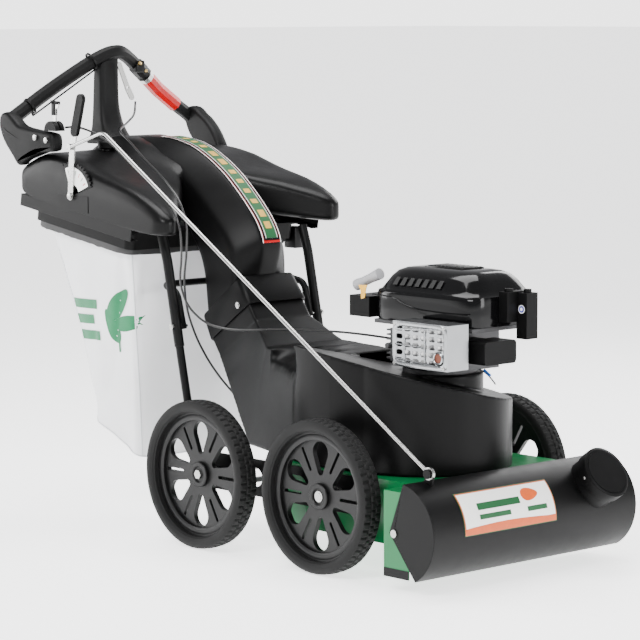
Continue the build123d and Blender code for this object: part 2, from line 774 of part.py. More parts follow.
with BuildPart() as handle_post:
    with BuildSketch(level(1042)) as foot:
        with Locations((-1222, 0)):
            RectangleRounded(110, 112, 20)
    with BuildSketch(level(1105)) as waist:
        with Locations((-1240, 0)):
            RectangleRounded(64, 76, 16)
    with BuildSketch(level(1150)) as neck:
        with Locations((-1245, 0)):
            RectangleRounded(52, 66, 12)
    with BuildSketch(level(1303)) as head:
        with Locations((-1238, 0)):
            RectangleRounded(44, 66, 12)
    loft([foot.sketch.face(), waist.sketch.face(), neck.sketch.face()])
    loft([neck.sketch.face(), head.sketch.face()])
    add(handle_bar.part, mode=Mode.SUBTRACT)
    rod((-1222, 18, 1196), (-1203, 18, 1196), 4)
save(handle_post, "handle_post")

throttle_pivot = (-1086.0, 1100.0)

with BuildPart() as throttle_housing:
    with BuildSketch(side(-325)):
        with Locations((throttle_pivot[0], 1086)):
            Circle(27)
            with Locations((0, -30)):
                Rectangle(80, 60, mode=Mode.SUBTRACT)
    extrude(amount=32)
    slab(-1120, -1050, -342.8, -337.2, 1080, 1120, Mode.SUBTRACT)
    rod((throttle_pivot[0], -345, throttle_pivot[1]), (throttle_pivot[0], -335, throttle_pivot[1]), 3)
    add(handle_shoulders.part, mode=Mode.SUBTRACT)
save(throttle_housing, "throttle_housing")

with BuildPart() as throttle_lever:
    with BuildSketch(side(-338)):
        with Locations(throttle_pivot):
            Circle(9)
        with BuildLine():
            Polyline((-1094, 1100), (-1092, 1150), (-1084, 1163), (-1064, 1163), (-1066, 1151), (-1078, 1146),
                     (-1078, 1100), close=True)
        make_face()
        with Locations(throttle_pivot):
            Circle(3 + running_gap, mode=Mode.SUBTRACT)
    extrude(amount=4)
save(throttle_lever, "throttle_lever")

# ---------------------------------------------------------------- nozzle

hood_top = 81.0  # ends of the hood's arc about the drum axis
hood_bottom = -60.5


def hood_sector(radius):
    """Sector of the drum in side view, as an outline from its axis."""
    with BuildLine() as edge:
        Line(nozzle_axis, polar(nozzle_axis, radius, hood_bottom))
        ThreePointArc(polar(nozzle_axis, radius, hood_bottom), polar(nozzle_axis, radius, 10),
                      polar(nozzle_axis, radius, hood_top))
        Line(polar(nozzle_axis, radius, hood_top), nozzle_axis)
    return edge.line


port_axis = Vector(cos(radians(port_tilt)), 0, sin(radians(port_tilt)))
port_base = (nozzle_axis[0], port_y, nozzle_axis[1])


def along_port(distance):
    """Point on the hose port's axis, by its distance from the drum axis."""
    return (nozzle_axis[0] + distance * port_axis.X, port_y, nozzle_axis[1] + distance * port_axis.Z)


end_plate = 3.0
hood_half = nozzle_half_width - end_plate

with BuildPart() as nozzle_hood:
    with BuildSketch(side(hood_half)) as arc:
        with BuildLine() as outer_edge:
            ThreePointArc(polar(nozzle_axis, nozzle_radius, hood_bottom), polar(nozzle_axis, nozzle_radius, 10),
                          polar(nozzle_axis, nozzle_radius, hood_top))
            Line(polar(nozzle_axis, nozzle_radius, hood_top), polar(nozzle_axis, nozzle_radius - sheet, hood_top))
            ThreePointArc(polar(nozzle_axis, nozzle_radius - sheet, hood_top),
                          polar(nozzle_axis, nozzle_radius - sheet, 10),
                          polar(nozzle_axis, nozzle_radius - sheet, hood_bottom))
            Line(polar(nozzle_axis, nozzle_radius - sheet, hood_bottom),
                 polar(nozzle_axis, nozzle_radius, hood_bottom))
        make_face()
    extrude(amount=2 * hood_half)
    rod(along_port(90), along_port(200), port_radius, Mode.SUBTRACT)
    # ear and pin that the height rod drives
    with BuildSketch(side(-300)) as ear:
        with Locations(rod_pin):
            Circle(13)
        with Locations(polar(nozzle_axis, nozzle_radius - 1.5, 66)):
            Circle(1)
        with Locations(polar(nozzle_axis, nozzle_radius - 1.5, 78)):
            Circle(1)
        make_hull()
    extrude(ear.sketch, amount=4)
    rod((rod_pin[0], -303, rod_pin[1]), (rod_pin[0], -318, rod_pin[1]), 5)
    rod((rod_pin[0], -316, rod_pin[1]), (rod_pin[0], -319, rod_pin[1]), 12)
save(nozzle_hood, "nozzle_hood")

with BuildPart() as nozzle_ends:
    for y in (-hood_half, nozzle_half_width):
        with BuildSketch(side(y)) as plate:
            with BuildLine():
                ThreePointArc(polar(nozzle_axis, nozzle_radius, hood_bottom), polar(nozzle_axis, nozzle_radius, 10),
                              polar(nozzle_axis, nozzle_radius, hood_top))
                Polyline(polar(nozzle_axis, nozzle_radius, hood_top), (279, 147),
                         polar(nozzle_axis, nozzle_radius, hood_bottom))
            make_face()
            with Locations(nozzle_pivot):
                Circle(6 + running_gap, mode=Mode.SUBTRACT)
        extrude(plate.sketch, amount=end_plate)
save(nozzle_ends, "nozzle_ends")

with BuildPart() as hose_port:
    rod(along_port(95), along_port(port_reach), port_radius)
    with BuildSketch(side(200)) as inside:
        make_face(hood_sector(nozzle_radius - sheet).edges())
    extrude(inside.sketch, amount=400, both=True, mode=Mode.SUBTRACT)
    rod(along_port(80), along_port(200), port_radius - 2.5, Mode.SUBTRACT)
save(hose_port, "hose_port")

with BuildPart() as port_cap:
    rod(along_port(151), along_port(180), port_radius + 4.4)
    rod(along_port(179), along_port(182), 60)
    rod(along_port(140), along_port(port_reach + 0.6), port_radius + 0.4, Mode.SUBTRACT)
save(port_cap, "port_cap")

with BuildPart() as nozzle_bolts:
    for s in (-1, 1):
        rod((nozzle_pivot[0], s * 350, nozzle_pivot[1]), (nozzle_pivot[0], s * 371, nozzle_pivot[1]), 6)
        rod((nozzle_pivot[0], s * 369.2, nozzle_pivot[1]), (nozzle_pivot[0], s * 372, nozzle_pivot[1]), 10)
        rod((nozzle_pivot[0], s * 350, nozzle_pivot[1]), (nozzle_pivot[0], s * 357.9, nozzle_pivot[1]), 10)
save(nozzle_bolts, "nozzle_bolts")

# ---------------------------------------------------------------- height lever and rod

lever_tip = (-953.0, 1177.0)

with BuildPart() as height_quadrant:
    with BuildSketch(side(-343.5)) as quadrant:
        with BuildLine():
            Line(polar(lever_pivot, 94, 18), lever_pivot)
            Line(lever_pivot, polar(lever_pivot, 94, 116))
            ThreePointArc(polar(lever_pivot, 94, 116), polar(lever_pivot, 94, 70), polar(lever_pivot, 94, 18))
        make_face()
        with Locations((-1000, 888)):
            Rectangle(138, 46)
        for i in range(13):
            with Locations(polar(lever_pivot, 94, 22 + 7.5 * i)):
                Rectangle(9, 5, rotation=22 + 7.5 * i, mode=Mode.SUBTRACT)
        with Locations(lever_pivot):
            Circle(5, mode=Mode.SUBTRACT)
    extrude(quadrant.sketch, amount=4)
save(height_quadrant, "height_quadrant")

with BuildPart() as height_lever:
    with BuildSketch(side(lever_y)) as bar:
        for start, finish in ((lever_pivot, lever_pin), (lever_pin, lever_tip)):
            with BuildSketch(mode=Mode.PRIVATE) as strip:
                with Locations(start, finish):
                    Circle(11)
                make_hull()
            add(strip.sketch)
        with Locations(lever_pivot):
            Circle(5 + running_gap, mode=Mode.SUBTRACT)
        with Locations(lever_pin):
            Circle(4.5 + running_gap, mode=Mode.SUBTRACT)
    extrude(bar.sketch, amount=4)
save(height_lever, "height_lever")

with BuildPart() as lever_grip:
    low = (lever_pin[0] + (lever_tip[0] - lever_pin[0]) * 0.32, lever_pin[1] + (lever_tip[1] - lever_pin[1]) * 0.32)
    with BuildSketch(side(lever_y + 3.5)) as sleeve:
        with Locations(low, lever_tip):
            Circle(14)
        make_hull()
    extrude(sleeve.sketch, amount=11)
    add(height_lever.part, mode=Mode.SUBTRACT)
save(lever_grip, "lever_grip")

rod_y = -359.0
rod_far_y = -309.0

with BuildPart() as height_rod:
    tube([(lever_pin[0], rod_y, lever_pin[1]), (-845, rod_y, 1090), (344, rod_far_y, 304)], [40], 5)
    rod((lever_pin[0], rod_y - 4, lever_pin[1]), (lever_pin[0], -345.5, lever_pin[1]), 4.5)
    rod((lever_pin[0], rod_y - 5.5, lever_pin[1]), (lever_pin[0], -353.2, lever_pin[1]), 9)
    rod((rod_pin[0], rod_far_y - 4, rod_pin[1]), (rod_pin[0], rod_far_y + 4, rod_pin[1]), 16)
    rod((rod_pin[0], rod_far_y - 10, rod_pin[1]), (rod_pin[0], rod_far_y + 10, rod_pin[1]), 10, Mode.SUBTRACT)
save(height_rod, "height_rod")

# ---------------------------------------------------------------- drive control and cables

bar_start = Vector(*corner_right)
bar_way = (Vector(*handle_apex) - bar_start).normalized()


def on_bar(distance, drop=0.0):
    """Point beside the right handle bar, by its distance from the corner and drop below the bar's axis."""
    across_bar = Vector(0, 1, 0).cross(bar_way).normalized()
    below = bar_way.cross(across_bar).normalized()
    if below.Z > 0:
        below = -below
    return bar_start + bar_way * distance + below * drop


with BuildPart() as drive_bail:
    rod(on_bar(95, 34), on_bar(330, 34), 2.5)
    for place in (95, 325):
        rod(on_bar(place), on_bar(place + 6), handle_radius + 4.5)
        rod(on_bar(place, 24), on_bar(place, 34), 2.5)
    rod(on_bar(60), on_bar(370), handle_radius + body_gap, Mode.SUBTRACT)
save(drive_bail, "drive_bail")

with BuildPart() as bellcrank:
    with BuildSketch(across(-1212)) as crank:
        with BuildSketch(mode=Mode.PRIVATE) as long_arm:
            with Locations((-10, 1262), (18, 1196)):
                Circle(8)
            make_hull()
        add(long_arm.sketch)
        with BuildSketch(mode=Mode.PRIVATE) as short_arm:
            with Locations((18, 1196), (34, 1168)):
                Circle(9)
            make_hull()
        add(short_arm.sketch)
        with Locations((18, 1196)):
            Circle(4 + running_gap, mode=Mode.SUBTRACT)
    extrude(crank.sketch, amount=3)
save(bellcrank, "bellcrank")

cable_radius = 3.0


def bend_radii(points):
    """Arc radii of a cable's route: 0.45 of the shorter run over the tangent of half the turn."""
    radii = []
    for a, b, c in zip(points, points[1:], points[2:]):
        first = Vector(*b) - Vector(*a)
        second = Vector(*c) - Vector(*b)
        turn = radians(first.get_angle(second))
        radii.append(0.45 * min(first.length, second.length) * cos(turn / 2) / sin(turn / 2))
    return radii


clutch_route = [
    (-1196, 36, 1155), (-1180, 20, 1118), (-1160, -30, 1092), (-1120, -84, 1082), (-1064, -124, 1074),
    (-1000, -150, 1058), (-930, -178, 1036), (-850, -206, 1006), (-770, -236, 984), (-694, -262, 956),
    (-624, -280, 918), (-582, -286, 856), (-590, -280, 780), (-616, -270, 700), (-634, -246, 615),
    (-640, -205, 530), (-640, -160, 462), (-640, -110, 404), (-628, -60, 350),
]
throttle_route = [
    (-1048, -331, 1096), (-1008, -326, 1100), (-960, -310, 1088), (-905, -292, 1060), (-840, -290, 1020),
    (-770, -298, 984), (-700, -302, 948), (-634, -304, 906), (-588, -304, 846), (-592, -296, 768),
    (-618, -284, 694), (-622, -254, 626), (-590, -214, 576), (-530, -170, 562), (-460, -128, 566),
    (-380, -96, 572), (-300, -84, 574), (-215, -74, 577), (-130, -62, 576), (-50, -48, 572), (8, -30, 565),
]

for name, route in (("clutch_cable", clutch_route), ("throttle_cable", throttle_route)):
    radii = bend_radii(route)
    print(name, "smallest bend", round(min(radii)), "mm")
    with BuildPart() as cable:
        tube(route, radii, cable_radius)
    save(cable, name)
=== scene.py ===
import json
from math import cos, pi, radians, sin

import bmesh
import bpy
from mathutils import Matrix, Vector, noise
from mathutils.bvhtree import BVHTree


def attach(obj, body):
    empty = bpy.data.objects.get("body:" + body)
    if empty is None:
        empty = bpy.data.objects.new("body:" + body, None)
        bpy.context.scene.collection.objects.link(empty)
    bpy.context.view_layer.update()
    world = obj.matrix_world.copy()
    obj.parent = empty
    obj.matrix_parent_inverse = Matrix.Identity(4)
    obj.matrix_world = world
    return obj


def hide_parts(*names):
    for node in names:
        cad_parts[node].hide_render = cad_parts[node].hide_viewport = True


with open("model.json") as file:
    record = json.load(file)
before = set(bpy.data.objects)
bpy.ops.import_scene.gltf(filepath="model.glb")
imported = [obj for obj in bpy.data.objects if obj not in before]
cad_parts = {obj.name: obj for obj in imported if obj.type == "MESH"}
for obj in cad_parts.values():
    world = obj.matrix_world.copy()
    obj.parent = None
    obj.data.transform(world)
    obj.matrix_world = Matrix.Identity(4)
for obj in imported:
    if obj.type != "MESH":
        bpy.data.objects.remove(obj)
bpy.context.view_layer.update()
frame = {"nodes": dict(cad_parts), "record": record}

nodes = frame["nodes"]
scene = bpy.context.scene
FRONT_AXLE = 0.4256  # the front axle ahead of the origin, as in part.py


def at(x, y, z):
    """Point measured from the ground under the front axle."""
    return Vector((x + FRONT_AXLE, y, z))


def collect(obj):
    scene.collection.objects.link(obj)
    return obj


# ---------------------------------------------------------------- camera and studio

camera = collect(bpy.data.objects.new("camera", bpy.data.cameras.new("camera")))
camera.data.sensor_width = 36.0
camera.data.lens = 157.15
camera.data.clip_end = 500.0
ahead = Vector((-0.7319, 0.6723, -0.1111)).normalized()
right = ahead.cross(Vector((0, 0, 1))).normalized()
up = right.cross(ahead)
ROLL = radians(-0.12)
right, up = right * cos(ROLL) + up * sin(ROLL), up * cos(ROLL) - right * sin(ROLL)
spot = at(5.1237, -5.0466, 1.4237)
camera.matrix_world = Matrix((
    (right.x, up.x, -ahead.x, spot.x),
    (right.y, up.y, -ahead.y, spot.y),
    (right.z, up.z, -ahead.z, spot.z),
    (0, 0, 0, 1)))
scene.camera = camera


def area_light(name, place, aim, size, power, colour=(1, 1, 1)):
    lamp = bpy.data.lights.new(name, "AREA")
    lamp.shape = "RECTANGLE"
    lamp.size, lamp.size_y = size
    lamp.energy = power
    lamp.color = colour
    obj = collect(bpy.data.objects.new(name, lamp))
    obj.location = place
    obj.rotation_euler = (Vector(aim) - Vector(place)).to_track_quat("-Z", "Y").to_euler()
    return obj


area_light("key_light", (1.6, -3.4, 3.4), (0, 0, 0.5), (2.2, 1.6), 230)
area_light("top_light", (-0.4, 0.2, 3.6), (0, 0, 0.4), (2.6, 1.8), 150)
area_light("left_light", (-3.6, -2.2, 1.7), (0, 0, 0.5), (1.2, 2.0), 80)
area_light("front_light", (4.2, 0.9, 1.6), (0, 0, 0.5), (1.2, 1.8), 90)
area_light("back_light", (-0.6, 4.0, 2.6), (0, 0, 0.7), (3.0, 1.6), 110)
world = bpy.data.worlds.new("studio")
scene.world = world
world.use_nodes = True
world.node_tree.nodes["Background"].inputs["Strength"].default_value = 3.2
# bright at the horizon and dimmer overhead, so black gloss keeps its depth
sky_place = world.node_tree.nodes.new("ShaderNodeTexCoord")
sky_parts = world.node_tree.nodes.new("ShaderNodeSeparateXYZ")
sky_ramp = world.node_tree.nodes.new("ShaderNodeValToRGB")
world.node_tree.links.new(sky_place.outputs["Generated"], sky_parts.inputs[0])
world.node_tree.links.new(sky_parts.outputs["Z"], sky_ramp.inputs["Fac"])
sky_ramp.color_ramp.elements[0].position, sky_ramp.color_ramp.elements[0].color = 0.02, (1, 1, 1, 1)
sky_ramp.color_ramp.elements[1].position, sky_ramp.color_ramp.elements[1].color = 0.16, (0.17, 0.17, 0.175,
                                                                                         1)
world.node_tree.links.new(sky_ramp.outputs["Color"], world.node_tree.nodes["Background"].inputs["Color"])

# ---------------------------------------------------------------- materials


class Nodes:
    """A material's node tree, built from short calls."""

    def __init__(self, name):
        self.material = bpy.data.materials.new(name)
        self.material.use_nodes = True
        self.tree = self.material.node_tree
        self.shader = self.tree.nodes["Principled BSDF"]

    def add(self, kind, **values):
        node = self.tree.nodes.new(kind)
        for key, value in values.items():
            setattr(node, key, value)
        return node

    def link(self, a, b):
        self.tree.links.new(a, b)

    def coords(self, stretch=(1, 1, 1), turn=(0, 0, 0)):
        place = self.add("ShaderNodeTexCoord")
        mapping = self.add("ShaderNodeMapping")
        mapping.inputs["Scale"].default_value = stretch
        mapping.inputs["Rotation"].default_value = turn
        self.link(place.outputs["Object"], mapping.inputs["Vector"])
        return mapping.outputs["Vector"]

    def noise(self, vector, scale, detail=3.0):
        node = self.add("ShaderNodeTexNoise")
        node.inputs["Scale"].default_value = scale
        node.inputs["Detail"].default_value = detail
        self.link(vector, node.inputs["Vector"])
        return node.outputs["Fac"]

    def wave(self, vector, scale, axis, distortion=0.0):
        node = self.add("ShaderNodeTexWave", wave_type="BANDS", bands_direction=axis)
        node.inputs["Scale"].default_value = scale
        node.inputs["Distortion"].default_value = distortion
        self.link(vector, node.inputs["Vector"])
        return node.outputs["Fac"]

    def math(self, operation, a, b):
        node = self.add("ShaderNodeMath", operation=operation)
        for socket, value in zip(node.inputs, (a, b)):
            if isinstance(value, (int, float)):
                socket.default_value = value
            else:
                self.link(value, socket)
        return node.outputs[0]

    def ramp(self, fac, stops):
        node = self.add("ShaderNodeValToRGB")
        while len(node.color_ramp.elements) < len(stops):
            node.color_ramp.elements.new(0.5)
        for element, (place, colour) in zip(node.color_ramp.elements, stops):
            element.position = place
            element.color = (*colour, 1)
        self.link(fac, node.inputs["Fac"])
        return node.outputs["Color"]

    def range(self, fac, low, high):
        node = self.add("ShaderNodeMapRange")
        node.inputs["To Min"].default_value = low
        node.inputs["To Max"].default_value = high
        self.link(fac, node.inputs["Value"])
        return node.outputs["Result"]

    def bump(self, height, distance, strength=1.0):
        node = self.add("ShaderNodeBump")
        node.inputs["Distance"].default_value = distance
        node.inputs["Strength"].default_value = strength
        self.link(height, node.inputs["Height"])
        self.link(node.outputs["Normal"], self.shader.inputs["Normal"])


def tone(colour, factor):
    return tuple(min(1.0, c * factor) for c in colour)


def surface(name, colour, rough, metal=0.0, mottle=0.14, mottle_scale=9.0, rough_spread=0.07,
            grain=900.0, grain_depth=0.00006, coat=0.0, streak=(1, 1, 1), specular=0.5):
    """Moulded, painted or plated surface: mottled colour, uneven gloss and a fine grain."""
    n = Nodes(name)
    plain = n.coords()
    blotch = n.noise(plain, mottle_scale, 4.0)
    n.link(n.ramp(blotch, ((0.3, tone(colour, 1 - mottle)), (0.7, tone(colour, 1 + mottle)))),
           n.shader.inputs["Base Color"])
    fine = n.noise(n.coords(streak), grain, 2.0)
    smear = n.noise(plain, mottle_scale * 4.0, 3.0)
    n.link(n.range(smear, max(0.02, rough - rough_spread), min(1.0, rough + rough_spread)),
           n.shader.inputs["Roughness"])
    n.bump(fine, grain_depth)
    n.shader.inputs["Metallic"].default_value = metal
    n.shader.inputs["Coat Weight"].default_value = coat
    n.shader.inputs["Coat Roughness"].default_value = 0.08
    n.shader.inputs["Specular IOR Level"].default_value = specular
    return n.material


BLACK = (0.002, 0.002, 0.0021)
mats = {
    "green_paint": surface("green_paint", (0.0, 0.13, 0.035), 0.38, mottle=0.08, coat=0.1, grain=500,
                           specular=0.3),
    "black_steel": surface("black_steel", BLACK, 0.40, grain=1400, grain_depth=0.00005, specular=0.14),
    "black_plastic": surface("black_plastic", (0.0022, 0.0022, 0.0023), 0.42, grain=1500,
                             grain_depth=0.00008,
                             specular=0.10),
    "wheel_plastic": surface("wheel_plastic", (0.0022, 0.0022, 0.0023), 0.45, grain=1300,
                             grain_depth=0.00008,
                             specular=0.3),
    "tyre_rubber": surface("tyre_rubber", (0.006, 0.006, 0.006), 0.66, grain=700, grain_depth=0.00012,
                           specular=0.2),
    "belt_rubber": surface("belt_rubber", (0.01, 0.01, 0.01), 0.75, grain=600),
    "zinc": surface("zinc", (0.42, 0.42, 0.41), 0.26, metal=1.0, mottle=0.06, grain=300, streak=(8, 1, 8)),
    "bare_steel": surface("bare_steel", (0.56, 0.56, 0.56), 0.30, metal=1.0, grain=400, streak=(1, 1, 9)),
    "brass": surface("brass", (0.75, 0.52, 0.2), 0.28, metal=1.0, mottle=0.1, grain=500),
    "cast_alloy": surface("cast_alloy", (0.045, 0.045, 0.047), 0.5, metal=0.4, grain=420,
                          grain_depth=0.0002),
    "perforated_steel": surface("perforated_steel", (0.36, 0.37, 0.38), 0.24, metal=1.0, mottle=0.08,
                                grain=260,
                                grain_depth=0.00008, streak=(1, 6, 1)),
    "grey_plastic": surface("grey_plastic", (0.30, 0.30, 0.31), 0.45, mottle=0.08),
    "handle_foam": surface("handle_foam", (0.002, 0.002, 0.0021), 0.48, grain=1100, grain_depth=0.00012,
                           specular=0.14),
    "cable_black": surface("cable_black", (0.006, 0.006, 0.006), 0.3, grain=900),
}
gloss_black = surface("gloss_black", (0.002, 0.002, 0.0022), 0.12, mottle=0.1, rough_spread=0.03, grain=200,
                      grain_depth=0.00002, coat=0.1, specular=0.15)
satin_black = surface("satin_black", (0.002, 0.002, 0.0021), 0.33, grain=1200, grain_depth=0.00007,
                      specular=0.14)
housing_black = surface("housing_black", (0.0022, 0.0022, 0.0023), 0.37, grain=1300, grain_depth=0.0001,
                        mottle_scale=5.0, rough_spread=0.05, specular=0.10)
# painted shade: a flat dark colour for the shade inside the cowl's vent slots
painted_slot_shade = surface("painted_slot_shade", (0.004, 0.004, 0.004), 0.8)
yellow_tag = surface("yellow_tag", (0.8, 0.42, 0.0), 0.4, mottle=0.06)
red_gloss = surface("red_gloss", (0.42, 0.0, 0.002), 0.2, mottle=0.06, coat=0.1, grain=150, specular=0.25)
white_label = surface("white_label", (0.83, 0.83, 0.81), 0.3, mottle=0.03, grain=600)
green_label = surface("green_label", (0.0, 0.07, 0.016), 0.4, mottle=0.05)
orange_label = surface("orange_label", (0.55, 0.075, 0.0), 0.4, mottle=0.08, mottle_scale=60)
blue_label = surface("blue_label", (0.01, 0.02, 0.25), 0.3, mottle=0.05)
gold_label = surface("gold_label", (0.5, 0.3, 0.05), 0.4, mottle=0.1)
blue_wire = surface("blue_wire", (0.02, 0.12, 0.45), 0.35)
rust_brown = surface("rust_brown", (0.16, 0.05, 0.03), 0.5, metal=0.6, mottle=0.3, mottle_scale=60)


def woven(name, colour, thread, depth, rough=0.8, fuzz=0.15):
    """Plain weave in the bag's upright and level directions."""
    n = Nodes(name)
    spot_ = n.coords()
    parts = n.add("ShaderNodeSeparateXYZ")
    n.link(spot_, parts.inputs[0])
    flat = n.add("ShaderNodeCombineXYZ")
    n.link(n.math("ADD", parts.outputs[0], parts.outputs[1]), flat.inputs[0])
    n.link(parts.outputs[2], flat.inputs[1])
    across = n.wave(flat.outputs[0], thread, "X", 0.4)
    along = n.wave(flat.outputs[0], thread, "Y", 0.4)
    weave = n.math("MAXIMUM", across, along)
    blotch = n.noise(spot_, 7.0, 5.0)
    n.link(n.ramp(blotch, ((0.25, tone(colour, 0.93)), (0.75, tone(colour, 1.04)))),
           n.shader.inputs["Base Color"])
    n.link(n.range(n.noise(spot_, 60.0), rough - 0.08, rough + 0.08), n.shader.inputs["Roughness"])
    n.bump(weave, depth)
    n.shader.inputs["Sheen Weight"].default_value = fuzz
    n.shader.inputs["Sheen Roughness"].default_value = 0.6
    return n.material


bag_cloth = woven("bag_cloth", (0.90, 0.905, 0.92), 150.0, 0.00035)
bag_tape = woven("bag_tape", (0.70, 0.71, 0.73), 260.0, 0.0003)
vinyl = surface("vinyl", (0.006, 0.006, 0.0062), 0.5, grain=500, grain_depth=0.0002)
print_green = woven("print_green", (0.0, 0.16, 0.055), 150.0, 0.0002)

floor_mat = surface("floor_white", (0.95, 0.95, 0.95), 0.55, mottle=0.01, grain=50, grain_depth=0.00002)
floor_mat.node_tree.nodes["Principled BSDF"].inputs["Emission Color"].default_value = (1, 1, 1, 1)
floor_mat.node_tree.nodes["Principled BSDF"].inputs["Emission Strength"].default_value = 1.9
floor_mesh = bpy.data.meshes.new("floor")
floor_mesh.from_pydata([(-150, -150, 0), (150, -150, 0), (150, 150, 0), (-150, 150, 0)], [], [(0, 1, 2, 3)])
floor_mesh.materials.append(floor_mat)
collect(bpy.data.objects.new("floor", floor_mesh))

# ---------------------------------------------------------------- mesh helpers


def finish_piece(obj, body, replaces=(), sharp=35.0):
    """Smooth shading, body and the CAD nodes that a new piece stands for."""
    obj.data.polygons.foreach_set("use_smooth", [True] * len(obj.data.polygons))
    obj.data.set_sharp_from_angle(angle=radians(sharp))
    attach(obj, body)
    if replaces:
        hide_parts(*replaces)
    return obj


def baked(obj):
    """The object with its modifiers applied."""
    bpy.context.view_layer.update()
    mesh = bpy.data.meshes.new_from_object(obj.evaluated_get(bpy.context.evaluated_depsgraph_get()))
    obj.modifiers.clear()
    obj.data = mesh
    return obj


def from_bmesh(name, bm, material, body, slot, replaces=(), sharp=35.0, bevel=0.0, subdivide=0):
    bmesh.ops.remove_doubles(bm, verts=bm.verts, dist=1e-6)
    bmesh.ops.recalc_face_normals(bm, faces=bm.faces)
    mesh = bpy.data.meshes.new(name)
    bm.to_mesh(mesh)
    bm.free()
    mesh.materials.append(material)
    obj = collect(bpy.data.objects.new(name, mesh))
    if bevel:
        mod = obj.modifiers.new("bevel", "BEVEL")
        mod.width, mod.segments, mod.limit_method, mod.angle_limit = bevel, 2, "ANGLE", radians(30)
    if subdivide:
        mod = obj.modifiers.new("subdivide", "SUBSURF")
        mod.levels = mod.render_levels = subdivide
    if bevel or subdivide:
        baked(obj)
    return finish_piece(obj, body, replaces, sharp)


def sew(bm, rows, closed=False, caps=False):
    """Quads between rows of points; closed joins each row's ends."""
    made = [[bm.verts.new(p) for p in row] for row in rows]
    count = len(made[0])
    for a, b in zip(made, made[1:]):
        for i in range(count if closed else count - 1):
            j = (i + 1) % count
            bm.faces.new((a[i], a[j], b[j], b[i]))
    if caps:
        for row in (made[0], made[-1]):
            bm.faces.new(row)
    return made


def loft(name, rows, material, body, slot, closed=True, caps=True, **more):
    bm = bmesh.new()
    sew(bm, rows, closed, caps)
    return from_bmesh(name, bm, material, body, slot, **more)


def squircle(count, a, b, power=4.0):
    """Points of a rounded rectangle about 0, 0."""
    points = []
    for i in range(count):
        t = 2 * pi * i / count
        c, s = cos(t), sin(t)
        k = (abs(c) ** power + abs(s) ** power) ** (-1 / power)
        points.append((a * k * c, b * k * s))
    return points


def frame_at(origin, axis, hint=(0, 0, 1)):
    """Two unit vectors square to an axis."""
    axis = Vector(axis).normalized()
    u = axis.cross(Vector(hint))
    if u.length < 1e-4:
        u = axis.cross(Vector((1, 0, 0)))
    u.normalize()
    return u, axis.cross(u)


def ring(origin, axis, radius, count=32, hint=(0, 0, 1)):
    u, v = frame_at(origin, axis, hint)
    turns = [2 * pi * i / count for i in range(count)]
    return [origin + (u * cos(turn) + v * sin(turn)) * radius for turn in turns]


def turned(bm, origin, axis, profile, count=32):
    """Turned shape: profile is (distance along the axis, radius) from end to end."""
    axis = Vector(axis).normalized()
    rows = [ring(origin + axis * d, axis, max(r, 1e-5), count) for d, r in profile]
    sew(bm, rows, closed=True, caps=profile[0] != profile[-1])


def block(bm, low, high):
    xs, ys, zs = zip(low, high)
    corner = [bm.verts.new((x, y, z)) for x in xs for y in ys for z in zs]
    for face in ((0, 1, 3, 2), (4, 6, 7, 5), (0, 4, 5, 1), (2, 3, 7, 6), (0, 2, 6, 4), (1, 5, 7, 3)):
        bm.faces.new([corner[i] for i in face])


def wire(name, points, radius, material, body, replaces=()):
    """Smooth round wire or tube through control points."""
    curve = bpy.data.curves.new(name, "CURVE")
    curve.dimensions = "3D"
    spline = curve.splines.new("NURBS")
    spline.points.add(len(points) - 1)
    for p, q in zip(spline.points, points):
        p.co = (*q, 1)
    spline.order_u = 3
    spline.use_endpoint_u = True
    spline.resolution_u = 6
    curve.bevel_depth = radius
    curve.bevel_resolution = 3
    curve.use_fill_caps = True
    temp = collect(bpy.data.objects.new(name + "_curve", curve))
    bpy.context.view_layer.update()
    mesh = bpy.data.meshes.new_from_object(temp.evaluated_get(bpy.context.evaluated_depsgraph_get()))
    bpy.data.objects.remove(temp)
    mesh.name = name
    mesh.materials.clear()
    mesh.materials.append(material)
    return finish_piece(collect(bpy.data.objects.new(name, mesh)), body, replaces)


def cad_bmesh(names):
    bm = bmesh.new()
    for n in names:
        bm.from_mesh(nodes[n].data)
    bmesh.ops.remove_doubles(bm, verts=bm.verts, dist=1e-5)
    return bm


def moulded(name, sources, voxel, passes, material, body, shape=None, keep=0.4, sharp=60.0):
    """A CAD shape as moulded plastic: every edge rounded, then an optional change of form."""
    bm = cad_bmesh(sources)
    mesh = bpy.data.meshes.new(name)
    bm.to_mesh(mesh)
    bm.free()
    obj = collect(bpy.data.objects.new(name, mesh))
    mod = obj.modifiers.new("remesh", "REMESH")
    mod.mode, mod.voxel_size = "VOXEL", voxel
    mod = obj.modifiers.new("smooth", "SMOOTH")
    mod.factor, mod.iterations = 0.5, passes
    mod = obj.modifiers.new("decimate", "DECIMATE")
    mod.ratio = keep
    baked(obj)
    obj.data.materials.clear()
    obj.data.materials.append(material)
    if shape:
        for v in obj.data.vertices:
            v.co = shape(v.co)
    return finish_piece(obj, body, sources, sharp)


# CAD nodes keep their shape and take softened edges and a finish
slot_of = {s["node"]: s["material_slot"] for s in frame["record"]["subparts"]}
soft_edge = {"frame_hoop": 0, "handle_bar": 0, "clutch_cable": 0, "throttle_cable": 0, "drive_belt": 0.0005}
for name, node in nodes.items():
    node.data.materials.clear()
    node.data.materials.append(mats.get(slot_of[name], bag_cloth))
    for attribute in ("custom_normal",):
        if attribute in node.data.attributes:
            node.data.attributes.remove(node.data.attributes[attribute])
    node.data.polygons.foreach_set("use_smooth", [True] * len(node.data.polygons))
    weld = node.modifiers.new("weld", "WELD")
    weld.merge_threshold = 0.00002
    width = soft_edge.get(name, 0.0008)
    if width:
        bevel = node.modifiers.new("bevel", "BEVEL")
        bevel.width, bevel.segments, bevel.limit_method = width, 2, "ANGLE"
        bevel.angle_limit = radians(28)
        bevel.harden_normals = True

# ---------------------------------------------------------------- wheels

